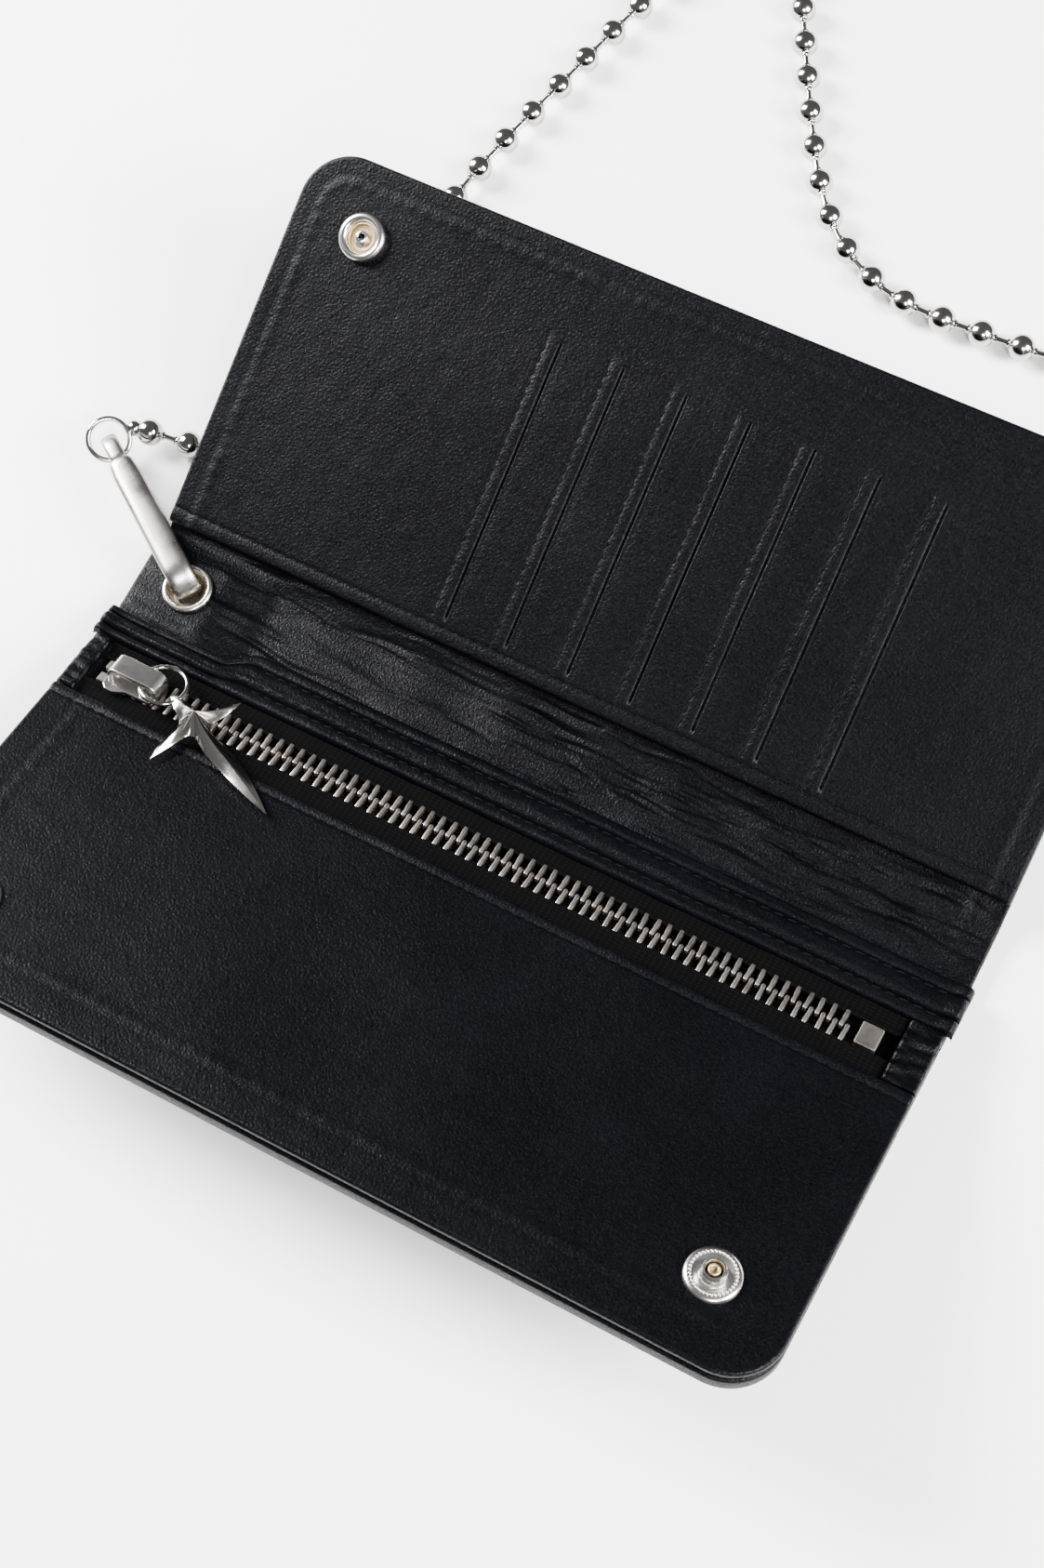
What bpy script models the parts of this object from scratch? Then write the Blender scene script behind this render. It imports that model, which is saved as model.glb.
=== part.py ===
"""Chain wallet: a long bifold wallet lying open on its spine, with its ball chain and belt clasp.

+X runs along the spine, +Y from the coin side to the card side and +Z up. The origin is on the
surface that the spine lies on, under the middle of the wallet. Each panel is built in the frame of
its own fold line: local Y leaves the fold line in the panel's plane (outwards is +Y on the card
side and -Y on the coin side), and local Z is the height above the fold axis.
"""

import math

import bmesh
import bpy
from mathutils import Matrix, Vector

# Driving dimensions, in metres
LENGTH = 0.192
PANEL_DEPTH = 0.092
SPINE_WIDTH = 0.017
CORNER = 0.011
FOLD_HEIGHT = 0.0009
CARD_TILT = math.radians(22.3)
COIN_TILT = math.radians(19.3)
GAP = 0.0003

COVER = (0.0, 0.0014)
PADDING = (0.0017, 0.0024)
LINING = (0.0027, 0.0031)
CARD_POCKET = (0.0034, 0.0038)
CARD_FACING = (0.0041, 0.0052)
COIN_GUSSET = (0.0034, 0.0050)
COIN_FRONT = (0.0053, 0.0065)
COIN_BAND = (0.0053, 0.0071)
STACK_START = 0.0065
BAND_START = 0.0032
BAND_STEP = -0.064
FACING_START = 0.0072
LAYER_INSET = 0.0012
COVER_NOTCH = (0.0073, 0.0052)
FACING_NOTCH = (0.0165, 0.0046)

SLITS = 7
SLIT_PITCH = 0.0141
SLIT_FIRST = -0.0311
SLIT_WIDTH = 0.0008
SLIT_INNER = 0.0125
SLIT_OUTER = 0.0725

WINDOW_INNER = 0.0087
WINDOW_OUTER = 0.0240
ZIP_LINE = 0.0162
ZIP_PITCH = 0.00252
TOOTH_LENGTH = 0.0036
TOOTH_WIDTH = 0.00095
TOOTH_REACH = 0.0006
TOOTH_CORD = 0.0007
TEETH = (0.00425, 0.00575)
TAPE = (0.00475, 0.00505)
TEETH_FROM = -0.0868
TEETH_TO = 0.0808
TAPE_FROM = -0.0915
TAPE_TO = 0.0885

SLIDER_X = -0.0813
SLIDER_LENGTH = 0.0116
SLIDER_WIDE = 0.0096
SLIDER_NARROW = 0.0072
SLIDER_LOW = (0.0034, 0.0040)
SLIDER_TOP = (0.0060, 0.0069)
CROWN_WIDTH = 0.0034
CROWN_STEEL = 0.0011

PULL_RING_OUTSIDE = 0.0106
PULL_RING_WIRE = 0.0009
PULL_RING_LEVEL = 0.0082
PULL_RING_AHEAD = 0.0060
PULL_RING_SIDE = 0.0011

SNAP_X = 0.079
SNAP_Y = 0.0757
SOCKET_RADIUS = 0.0050
STUD_RADIUS = 0.0055
CAP_RADIUS = 0.0062
POST_RADIUS = 0.0010
POST_HOLE = 0.0014

EYELET = Vector((-0.0845, 0.0020, 0.0))
EYELET_OUTSIDE = 0.0054
EYELET_HOLE = 0.0039
LIFT = 0.0030
LIFT_FROM = -0.066
LIFT_TO = -0.079
SPINE_COVER_HALF = 0.0076
SPINE_LINING_HALF = 0.0073
SPINE_LINING_TOP = 0.0031

RING_ANGLE = math.radians(145.7)
RING_RADIUS = 0.0060
RING_STEEL = 0.0022
RING_NEAR = 0.0039
RING_FAR = 0.0350
RING_WIDTH = 0.0054
BOW_WIDTH = 0.0036
GATE_FROM = 0.0150
GATE_PIN = 0.0325
PIN_RADIUS = 0.00042
PIN_HOLE = 0.0005

JUMP_RING_OUTSIDE = 0.0101
JUMP_RING_WIRE = 0.0012
JUMP_RING_CENTRE = 0.0408
JUMP_RING_HEIGHT = 0.0057
JUMP_RING_TILT = math.radians(28.7)

BEAD = 0.0055
CHAIN_ROUTE = (
    (-0.1124, 0.0305, 0.0044),
    (-0.1079, 0.0316, 0.0033),
    (-0.1035, 0.0322, 0.00278),
    (-0.0968, 0.0337, 0.00278),
    (-0.0900, 0.0375, 0.00278),
    (-0.0842, 0.0435, 0.00278),
    (-0.0808, 0.0520, 0.00278),
    (-0.0796, 0.0620, 0.00278),
    (-0.0796, 0.0740, 0.00278),
    (-0.0800, 0.0880, 0.00278),
    (-0.0800, 0.1020, 0.00278),
    (-0.0786, 0.1150, 0.00278),
    (-0.0758, 0.1280, 0.00278),
    (-0.0722, 0.1420, 0.00278),
    (-0.0686, 0.1560, 0.00278),
    (-0.0649, 0.1695, 0.00278),
    (-0.0604, 0.1840, 0.00278),
    (-0.0535, 0.1975, 0.00278),
    (-0.0440, 0.2020, 0.00278),
    (-0.0366, 0.1950, 0.00278),
    (-0.0300, 0.1830, 0.00278),
    (-0.0228, 0.1700, 0.00278),
    (-0.0151, 0.1568, 0.00278),
    (-0.0078, 0.1455, 0.00278),
    (0.0005, 0.1362, 0.00278),
    (0.0097, 0.1302, 0.00278),
    (0.0185, 0.1272, 0.00278),
    (0.0275, 0.1264, 0.00278),
    (0.0361, 0.1266, 0.00278),
    (0.0445, 0.1270, 0.00278),
    (0.0535, 0.1276, 0.00278),
    (0.0630, 0.1290, 0.00278),
    (0.0718, 0.1328, 0.00278),
    (0.0784, 0.1398, 0.00278),
    (0.0812, 0.1490, 0.00278),
    (0.0800, 0.1590, 0.00278),
)
CHAIN_POINTS = 46

CLASP_RADIUS = 0.0062
CLASP_STEEL = 0.0024
CLASP_LENGTH = 0.0150
CLASP_HEIGHT = 0.0040
STEM_RADIUS = 0.0009
STEM_HOLE = 0.0011
STEM_HEAD = 0.0015

STEM_END = 0.0118
COUPLING_RADIUS = 0.0017

EYELET_FLANGE = 0.0006
SNAP_HEIGHT = 0.0019
CAP_HEIGHT = 0.0020
GUSSET_WIDTH = 0.0045
GUSSET_AHEAD = 0.006
BAND_PROUD = 0.0012
CROWN_BACK = -0.0046
CROWN_FRONT = 0.0058
CROWN_ROOF = 0.0103
CROWN_CHAMFER = 0.0009
CHARM_ANGLE = math.radians(-27)
CHARM_THICKNESS = 0.0026
CHARM_HUB = Vector((0.0072, 0.0004))
CHARM_HOLLOW = 0.0029
CHARM_TIPS = ((3, 0.0262), (89, 0.0090), (184, 0.0092), (284, 0.0112))

ARC_STEPS = 8
TURN_STEPS = 28


def clear_scene():
    for obj in list(bpy.data.objects):
        bpy.data.objects.remove(obj)


def material(name, color, roughness, metallic=0.0):
    made = bpy.data.materials.new(name)
    made.use_nodes = True
    shader = made.node_tree.nodes["Principled BSDF"]
    shader.inputs["Base Color"].default_value = (*color, 1.0)
    shader.inputs["Roughness"].default_value = roughness
    shader.inputs["Metallic"].default_value = metallic
    return made


def empty(name, location=(0, 0, 0), rotation=(0, 0, 0), parent=None):
    made = bpy.data.objects.new(name, None)
    bpy.context.scene.collection.objects.link(made)
    made.parent = parent
    made.location = location
    made.rotation_euler = rotation
    return made


def add(name, mesh, finish, parent=None, location=(0, 0, 0), rotation=(0, 0, 0), round_shape=False):
    """An object of this mesh under its parent. The mesh is a bmesh, which is freed."""
    bmesh.ops.recalc_face_normals(mesh, faces=mesh.faces)
    data = bpy.data.meshes.new(name)
    mesh.to_mesh(data)
    mesh.free()
    data.materials.append(finish)
    if round_shape:
        data.shade_smooth()
        data.set_sharp_from_angle(angle=math.radians(35))
    made = bpy.data.objects.new(name, data)
    bpy.context.scene.collection.objects.link(made)
    made.parent = parent
    made.location = location
    made.rotation_euler = rotation
    return made


def bevel(obj, width, segments=2):
    made = obj.modifiers.new("bevel", "BEVEL")
    made.width = width
    made.segments = segments
    made.limit_method = "ANGLE"
    made.angle_limit = math.radians(40)


def cut(obj, cutter):
    """Cuts one object's shape out of another. The cutter stays in the file as a wire guide."""
    cutter.hide_render = True
    cutter.display_type = "WIRE"
    made = obj.modifiers.new("cut", "BOOLEAN")
    made.operation = "DIFFERENCE"
    made.solver = "EXACT"
    made.object = cutter


def arc(centre_x, centre_y, radius, start, end, steps=ARC_STEPS):
    """Points along an arc, ends included, angles in degrees."""
    points = []
    for step in range(steps + 1):
        angle = math.radians(start + (end - start) * step / steps)
        points.append((centre_x + radius * math.cos(angle), centre_y + radius * math.sin(angle)))
    return points


def panel_outline(side, start, inset=0.0, notch=None):
    """A panel's outline from `start` out to its outer edge, whose two corners are round.
    side is +1 on the card side and -1 on the coin side. notch is the width and depth of the step
    that clears the spring ring at the left end."""
    right = LENGTH / 2 - inset
    outer = PANEL_DEPTH - inset
    radius = CORNER - inset
    points = [(right, start)]
    points += arc(right - radius, outer - radius, radius, 0, 90)
    points += arc(radius - right, outer - radius, radius, 90, 180)
    if notch:
        wide, deep = notch
        points += [(-right, start + deep), (0.7 * wide - right, start + deep), (wide - right, start)]
    else:
        points.append((-right, start))
    return [(x, side * y) for x, y in points]


def prism(outline, low, high):
    """A closed solid with this outline in XY, from z = low to z = high."""
    mesh = bmesh.new()
    face = mesh.faces.new([mesh.verts.new((x, y, low)) for x, y in outline])
    moved = bmesh.ops.extrude_face_region(mesh, geom=[face])["geom"]
    tops = [item for item in moved if isinstance(item, bmesh.types.BMVert)]
    bmesh.ops.translate(mesh, verts=tops, vec=(0, 0, high - low))
    return mesh


def box(x0, x1, y0, y1, low, high):
    return prism([(x0, y0), (x1, y0), (x1, y1), (x0, y1)], low, high)


def boxes(corners):
    """Several separate boxes in one mesh, for a cutter."""
    mesh = bmesh.new()
    for x0, x1, y0, y1, low, high in corners:
        made = bmesh.ops.create_cube(mesh, size=1.0)["verts"]
        bmesh.ops.scale(mesh, verts=made, vec=(x1 - x0, y1 - y0, high - low))
        middle = ((x0 + x1) / 2, (y0 + y1) / 2, (low + high) / 2)
        bmesh.ops.translate(mesh, verts=made, vec=middle)
    return mesh


def turned(profile, steps=TURN_STEPS):
    """A solid of revolution about Z. profile is a closed outline of (radius, z) points; two points
    on the axis close it there."""
    mesh = bmesh.new()
    verts = [mesh.verts.new((radius, 0, z)) for radius, z in profile]
    edges = []
    for first, second in zip(verts, verts[1:] + verts[:1]):
        if first.co.x > 0 or second.co.x > 0:
            edges.append(mesh.edges.new((first, second)))
    bmesh.ops.spin(
        mesh,
        geom=verts + edges,
        cent=(0, 0, 0),
        axis=(0, 0, 1),
        angle=math.tau,
        steps=steps,
        use_merge=True,
    )
    bmesh.ops.remove_doubles(mesh, verts=mesh.verts, dist=1e-6)
    return mesh


def rod(radius, low, high, steps=TURN_STEPS):
    return turned([(0, low), (radius, low), (radius, high), (0, high)], steps)


def hoop(outside, wire, steps=TURN_STEPS, sides=8):
    """A wire ring about Z with its middle at the origin."""
    middle = (outside - wire) / 2
    profile = arc(middle, 0, wire / 2, 0, 360 - 360 / sides, sides - 1)
    return turned(profile, steps)


def band(path_out, path_in, width):
    """A flat strip bent along a path in the XZ plane, of this width along Y."""
    mesh = prism(path_out + path_in[::-1], -width / 2, width / 2)
    bmesh.ops.rotate(mesh, verts=mesh.verts, matrix=Matrix.Rotation(math.pi / 2, 3, "X"))
    return mesh


def catmull(points, count):
    """`count` points evenly spaced along a smooth curve through the route's points."""
    ends = [2 * points[0] - points[1], *points, 2 * points[-1] - points[-2]]
    fine = []
    for i in range(1, len(ends) - 2):
        before, start, end, after = ends[i - 1 : i + 3]
        for step in range(12):
            t = step / 12
            fine.append(
                0.5
                * (
                    2 * start
                    + (end - before) * t
                    + (2 * before - 5 * start + 4 * end - after) * t * t
                    + (3 * start - before - 3 * end + after) * t * t * t
                )
            )
    fine.append(points[-1])
    lengths = [0.0]
    for first, second in zip(fine, fine[1:]):
        lengths.append(lengths[-1] + (second - first).length)
    even = []
    at = 0
    for step in range(count):
        target = lengths[-1] * step / (count - 1)
        while at < len(fine) - 2 and lengths[at + 1] < target:
            at += 1
        share = (target - lengths[at]) / (lengths[at + 1] - lengths[at])
        even.append(fine[at].lerp(fine[at + 1], min(1.0, share)))
    return even


def chain_tube(name, points, finish, parent):
    """The plain tube that stands for a stretch of chain."""
    data = bpy.data.curves.new(name, "CURVE")
    data.dimensions = "3D"
    data.bevel_depth = BEAD / 2
    data.bevel_resolution = 2
    data.use_fill_caps = True
    spline = data.splines.new("POLY")
    spline.points.add(len(points) - 1)
    for made, point in zip(spline.points, points):
        made.co = (*point, 1.0)
    data.materials.append(finish)
    made = bpy.data.objects.new(name, data)
    bpy.context.scene.collection.objects.link(made)
    made.parent = parent
    return made


def above_fold(span):
    """A span of stack heights as heights above the fold axis."""
    return span[0] - FOLD_HEIGHT, span[1] - FOLD_HEIGHT


def snap_holes(name, parent, side):
    """The two round holes that the snap posts pass through."""
    mesh = bmesh.new()
    for x in (-SNAP_X, SNAP_X):
        made = bmesh.ops.create_cone(
            mesh,
            cap_ends=True,
            segments=TURN_STEPS,
            radius1=POST_HOLE,
            radius2=POST_HOLE,
            depth=0.03,
        )["verts"]
        bmesh.ops.translate(mesh, verts=made, vec=(x, side * SNAP_Y, 0))
    return add(name, mesh, finishes["guide"], parent)


def spine_strip(half_width, low, high, crown=0.0):
    """A strip along the spine whose left end rises over the ring. crown lifts its middle line."""
    mesh = bmesh.new()
    xs = [-LENGTH / 2, -0.087, LIFT_TO, (LIFT_TO + LIFT_FROM) / 2, LIFT_FROM, 0.0, LENGTH / 2]
    rows = []
    for x in xs:
        share = min(1.0, max(0.0, (LIFT_FROM - x) / (LIFT_FROM - LIFT_TO)))
        lift = LIFT * share * share * (3 - 2 * share)
        ring = []
        for y, z in (
            (-half_width, low),
            (0, low),
            (half_width, low),
            (half_width, high),
            (0, high + crown),
            (-half_width, high),
        ):
            ring.append(mesh.verts.new((x, y, z + lift)))
        rows.append(ring)
    for first, second in zip(rows, rows[1:]):
        for i in range(6):
            j = (i + 1) % 6
            mesh.faces.new((first[i], first[j], second[j], second[i]))
    mesh.faces.new(rows[0])
    mesh.faces.new(rows[-1])
    return mesh


def make_spine():
    cover = add("spine_cover", spine_strip(SPINE_COVER_HALF, *COVER), finishes["leather"])
    lining = add(
        "spine_lining",
        spine_strip(SPINE_LINING_HALF, COVER[1] + GAP, SPINE_LINING_TOP - 0.0006, 0.0006),
        finishes["lining"],
    )
    hole = add("eyelet_hole", rod(EYELET_HOLE + 3 * GAP, -0.01, 0.02), finishes["guide"])
    hole.location = EYELET
    cut(cover, hole)
    cut(lining, hole)
    top = LIFT + SPINE_LINING_TOP + GAP
    low = LIFT - GAP
    wall = EYELET_HOLE + EYELET_FLANGE
    add(
        "eyelet",
        turned(
            [
                (EYELET_HOLE, low),
                (wall, low),
                (wall, top),
                (EYELET_OUTSIDE, top),
                (EYELET_OUTSIDE, top + 0.4 * EYELET_FLANGE),
                (0.6 * EYELET_OUTSIDE + 0.4 * wall, top + EYELET_FLANGE),
                (wall, top + EYELET_FLANGE),
                (EYELET_HOLE, top + 0.3 * EYELET_FLANGE),
            ]
        ),
        finishes["steel"],
        location=EYELET,
        round_shape=True,
    )
    add(
        "eyelet_washer",
        turned(
            [
                (wall + GAP, low - 0.4 * EYELET_FLANGE),
                (EYELET_OUTSIDE - 0.0004, low - 0.4 * EYELET_FLANGE),
                (EYELET_OUTSIDE - 0.0004, low),
                (wall + GAP, low),
            ]
        ),
        finishes["steel"],
        location=EYELET,
        round_shape=True,
    )


def make_card_panel(fold):
    holes = snap_holes("card_snap_holes", fold, 1)
    layers = [
        ("card_cover", COVER, panel_outline(1, GAP, notch=COVER_NOTCH), "leather"),
        ("card_padding", PADDING, panel_outline(1, STACK_START, LAYER_INSET), "foam"),
        ("bill_pocket_lining", LINING, panel_outline(1, STACK_START, LAYER_INSET), "lining"),
        ("card_facing", CARD_FACING, panel_outline(1, FACING_START, notch=FACING_NOTCH), "leather"),
    ]
    for name, span, outline, finish in layers:
        made = add(name, prism(outline, *above_fold(span)), finishes[finish], fold)
        cut(made, holes)
    slits = []
    for index in range(SLITS):
        x = SLIT_FIRST + index * SLIT_PITCH
        slits.append((x - SLIT_WIDTH / 2, x + SLIT_WIDTH / 2, SLIT_INNER, SLIT_OUTER, 0, 0.01))
        pocket = box(
            x - SLIT_PITCH + GAP,
            x,
            SLIT_INNER - 0.002,
            SLIT_OUTER + 0.002,
            *above_fold(CARD_POCKET),
        )
        add(f"card_pocket_{index + 1}", pocket, finishes["lining"], fold)
    slit_cutter = add("slit_cutter", boxes(slits), finishes["guide"], fold)
    cut(bpy.data.objects["card_facing"], slit_cutter)


def make_snap_sockets(fold):
    base = CARD_FACING[1] - FOLD_HEIGHT + GAP
    socket = [
        (POST_HOLE, 0),
        (SOCKET_RADIUS, 0),
        (SOCKET_RADIUS, 0.0006),
        (SOCKET_RADIUS - 0.0005, SNAP_HEIGHT - 0.0003),
        (SOCKET_RADIUS - 0.0009, SNAP_HEIGHT),
        (0.0032, SNAP_HEIGHT),
        (0.0026, SNAP_HEIGHT - 0.0004),
        (0.0026, 0.0003),
        (0.0018, 0.0003),
        (0.0018, 0.0005),
        (POST_HOLE, 0.0005),
    ]
    head = COVER[0] - FOLD_HEIGHT - GAP
    cap = [
        (0, head - CAP_HEIGHT),
        (0.5 * CAP_RADIUS, head - 0.9 * CAP_HEIGHT),
        (0.85 * CAP_RADIUS, head - 0.6 * CAP_HEIGHT),
        (CAP_RADIUS, head - 0.2 * CAP_HEIGHT),
        (CAP_RADIUS, head),
        (POST_RADIUS, head),
        (POST_RADIUS, base + 0.0004),
        (0, base + 0.0004),
    ]
    for side, x in (("left", -SNAP_X), ("right", SNAP_X)):
        place = (x, SNAP_Y, 0)
        add(f"snap_cap_{side}", turned(cap), finishes["steel"], fold, place, round_shape=True)
        place = (x, SNAP_Y, base)
        add(f"snap_socket_{side}", turned(socket), finishes["steel"], fold, place, round_shape=True)


def make_coin_panel(fold):
    holes = snap_holes("coin_snap_holes", fold, -1)
    cover = prism(panel_outline(-1, GAP, notch=COVER_NOTCH), *above_fold(COVER))
    add("coin_cover", cover, finishes["leather"], fold)
    padding = prism(panel_outline(-1, STACK_START, LAYER_INSET), *above_fold(PADDING))
    add("coin_padding", padding, finishes["foam"], fold)
    back = prism(panel_outline(-1, STACK_START, LAYER_INSET), *above_fold(LINING))
    add("coin_pocket_back", back, finishes["lining"], fold)
    front = prism(panel_outline(-1, WINDOW_OUTER), *above_fold(COIN_FRONT))
    cut(add("coin_front", front, finishes["leather"], fold), holes)

    outer = panel_outline(-1, WINDOW_OUTER + GUSSET_AHEAD, LAYER_INSET)
    inner = panel_outline(-1, WINDOW_OUTER + GUSSET_AHEAD, LAYER_INSET + GUSSET_WIDTH)
    gusset = prism(outer + inner[::-1], *above_fold(COIN_GUSSET))
    add("coin_gusset", gusset, finishes["lining"], fold)

    half = LENGTH / 2 + BAND_PROUD
    outline = [(-half, -WINDOW_INNER), (half, -WINDOW_INNER), (half, -BAND_START)]
    outline += [(BAND_STEP, -BAND_START), (BAND_STEP, -STACK_START), (-half, -STACK_START)]
    top_band = prism(outline, *above_fold(COIN_BAND))
    bevel(add("coin_top_band", top_band, finishes["leather"], fold), 0.0004, 1)
    ends = (("left", -LENGTH / 2, TAPE_FROM - GAP), ("right", TAPE_TO + GAP, LENGTH / 2))
    for side, x0, x1 in ends:
        end = box(x0, x1, GAP - WINDOW_OUTER, -WINDOW_INNER - GAP, *above_fold(COIN_FRONT))
        add(f"zip_end_{side}", end, finishes["leather"], fold)


def tooth_row(side, shift):
    """One row of teeth on its cord, as a comb. side is +1 for the row nearer the fold."""
    root = side * (TOOTH_LENGTH - TOOTH_REACH)
    inner = root - side * TOOTH_CORD
    tip = -side * TOOTH_REACH
    points = [(TEETH_TO, root), (TEETH_FROM, root)]
    count = int((TEETH_TO - TEETH_FROM - TOOTH_WIDTH) / ZIP_PITCH)
    for index in range(count + 1):
        x = TEETH_FROM + shift + index * ZIP_PITCH
        if x + TOOTH_WIDTH > TEETH_TO:
            break
        if index == 0 and shift == 0:
            points += [(x, tip), (x + TOOTH_WIDTH, tip), (x + TOOTH_WIDTH, inner)]
            continue
        if index == 0:
            points.append((TEETH_FROM, inner))
        points += [(x, inner), (x, tip), (x + TOOTH_WIDTH, tip), (x + TOOTH_WIDTH, inner)]
    points.append((TEETH_TO, inner))
    return [(x, y - ZIP_LINE) for x, y in points]


def make_zip(fold):
    upper = prism(tooth_row(1, 0.0), *above_fold(TEETH))
    add("zip_teeth_upper", upper, finishes["brass"], fold)
    lower = prism(tooth_row(-1, ZIP_PITCH / 2), *above_fold(TEETH))
    add("zip_teeth_lower", lower, finishes["brass"], fold)
    reach = TOOTH_LENGTH - TOOTH_REACH + GAP
    tapes = (
        ("zip_tape_upper", reach - ZIP_LINE, -0.0055),
        ("zip_tape_lower", -0.0285, -reach - ZIP_LINE),
    )
    for name, y0, y1 in tapes:
        add(name, box(TAPE_FROM, TAPE_TO, y0, y1, *above_fold(TAPE)), finishes["fabric"], fold)
    stop = box(TEETH_TO + GAP, TEETH_TO + 0.0047, -0.0026, 0.0026, *above_fold((0.0041, 0.0059)))
    bevel(add("zip_bottom_stop", stop, finishes["steel"], fold, (0, -ZIP_LINE, 0)), 0.0002, 1)
    for name, y in (("upper", 0.0017), ("lower", -0.0017)):
        block = box(TEETH_FROM - 0.0026, TEETH_FROM - GAP, -0.0011, 0.0011, *above_fold(TEETH))
        piece = add(f"zip_top_stop_{name}", block, finishes["steel"], fold, (0, y - ZIP_LINE, 0))
        bevel(piece, 0.0002, 1)


def slider_outline():
    end = SLIDER_LENGTH / 2
    wide, narrow = SLIDER_WIDE / 2, SLIDER_NARROW / 2
    upper = [(end, narrow), (-0.1 * end, narrow), (-0.55 * end, wide), (-end + 0.0008, wide)]
    upper.append((-end, wide - 0.0008))
    return upper + [(x, -y) for x, y in reversed(upper)]


def make_slider(fold):
    slider = empty("zip_slider_axis", (SLIDER_X, -ZIP_LINE, 0), parent=fold)
    top = prism(slider_outline(), *above_fold(SLIDER_TOP))
    bevel(add("slider_top_plate", top, finishes["steel"], slider), 0.00025)
    low = prism(slider_outline(), *above_fold(SLIDER_LOW))
    bevel(add("slider_bottom_plate", low, finishes["steel"], slider), 0.0002, 1)

    foot = SLIDER_TOP[1] + GAP
    outer = [(CROWN_BACK, foot), (CROWN_BACK, CROWN_ROOF - CROWN_CHAMFER)]
    outer += [(CROWN_BACK + CROWN_CHAMFER, CROWN_ROOF), (CROWN_FRONT - CROWN_CHAMFER, CROWN_ROOF)]
    outer += [(CROWN_FRONT, CROWN_ROOF - CROWN_CHAMFER), (CROWN_FRONT, foot)]
    back, front = CROWN_BACK + CROWN_STEEL, CROWN_FRONT - CROWN_STEEL
    inner = [(back, foot), (back, CROWN_ROOF - CROWN_STEEL)]
    inner += [(front, CROWN_ROOF - CROWN_STEEL), (front, foot)]
    crown = band(outer, inner, CROWN_WIDTH)
    piece = add("slider_crown", crown, finishes["steel"], slider, (0, 0, -FOLD_HEIGHT))
    bevel(piece, 0.00025)
    return slider


def make_pull(slider):
    """The pull ring through the slider's crown, and the star charm on the ring."""
    level = PULL_RING_LEVEL - FOLD_HEIGHT
    middle = (PULL_RING_OUTSIDE - PULL_RING_WIRE) / 2
    hinge = empty("pull_ring_axis", (PULL_RING_AHEAD - middle, PULL_RING_SIDE, level), parent=slider)
    ring = hoop(PULL_RING_OUTSIDE, PULL_RING_WIRE)
    add("pull_ring", ring, finishes["steel"], hinge, (middle, 0, 0), round_shape=True)

    joint = Vector((middle + middle * math.cos(CHARM_ANGLE), middle * math.sin(CHARM_ANGLE), 0))
    charm_axis = empty("charm_axis", joint, (0, 0, CHARM_ANGLE), parent=hinge)
    charm = prism(star_outline(), -CHARM_THICKNESS / 2, CHARM_THICKNESS / 2)
    piece = add("star_charm", charm, finishes["chrome"], charm_axis)
    hole = add("charm_hole", rod(0.00095, -0.006, 0.006, 16), finishes["guide"], charm_axis)
    hole.rotation_euler = (math.pi / 2, 0, 0)
    cut(piece, hole)


def star_outline():
    """Four pointed arms about a hub, with hollow curves between them. The first arm is the long
    tail, and the arm opposite it takes the ring."""
    blunt = 0.0011
    points = []
    for index, (angle, reach) in enumerate(CHARM_TIPS):
        here = math.radians(angle)
        following = math.radians(CHARM_TIPS[(index + 1) % 4][0] + (360 if index == 3 else 0))
        along = Vector((math.cos(here), math.sin(here)))
        across = Vector((-along.y, along.x))
        half = blunt * (1.6 if index == 2 else 0.5)
        tip = CHARM_HUB + along * reach
        points += [tip - across * half, tip + across * half]
        between = (here + following) / 2
        points.append(CHARM_HUB + CHARM_HOLLOW * Vector((math.cos(between), math.sin(between))))
    return [tuple(point) for point in points]


def make_studs(fold):
    base = COIN_FRONT[1] - FOLD_HEIGHT + GAP
    stud = [
        (POST_HOLE, 0),
        (STUD_RADIUS, 0),
        (STUD_RADIUS, 0.0004),
        (STUD_RADIUS - 0.0008, 0.0009),
        (0.0034, 0.0010),
        (0.0026, 0.0006),
        (0.0021, 0.0008),
        (0.0019, 0.0016),
        (0.0021, 0.0023),
        (0.0019, 0.0027),
        (POST_HOLE, 0.0027),
    ]
    seat = COIN_FRONT[0] - FOLD_HEIGHT - GAP
    post = [
        (0, seat - 0.0005),
        (0.0035, seat - 0.0005),
        (0.0035, seat),
        (POST_RADIUS, seat),
        (POST_RADIUS, base + 0.0014),
        (0, base + 0.0014),
    ]
    for side, x in (("left", -SNAP_X), ("right", SNAP_X)):
        place = (x, -SNAP_Y, base)
        add(f"snap_stud_{side}", turned(stud), finishes["steel"], fold, place, round_shape=True)
        place = (x, -SNAP_Y, 0)
        add(f"stud_post_{side}", turned(post), finishes["brass"], fold, place, round_shape=True)


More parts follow.
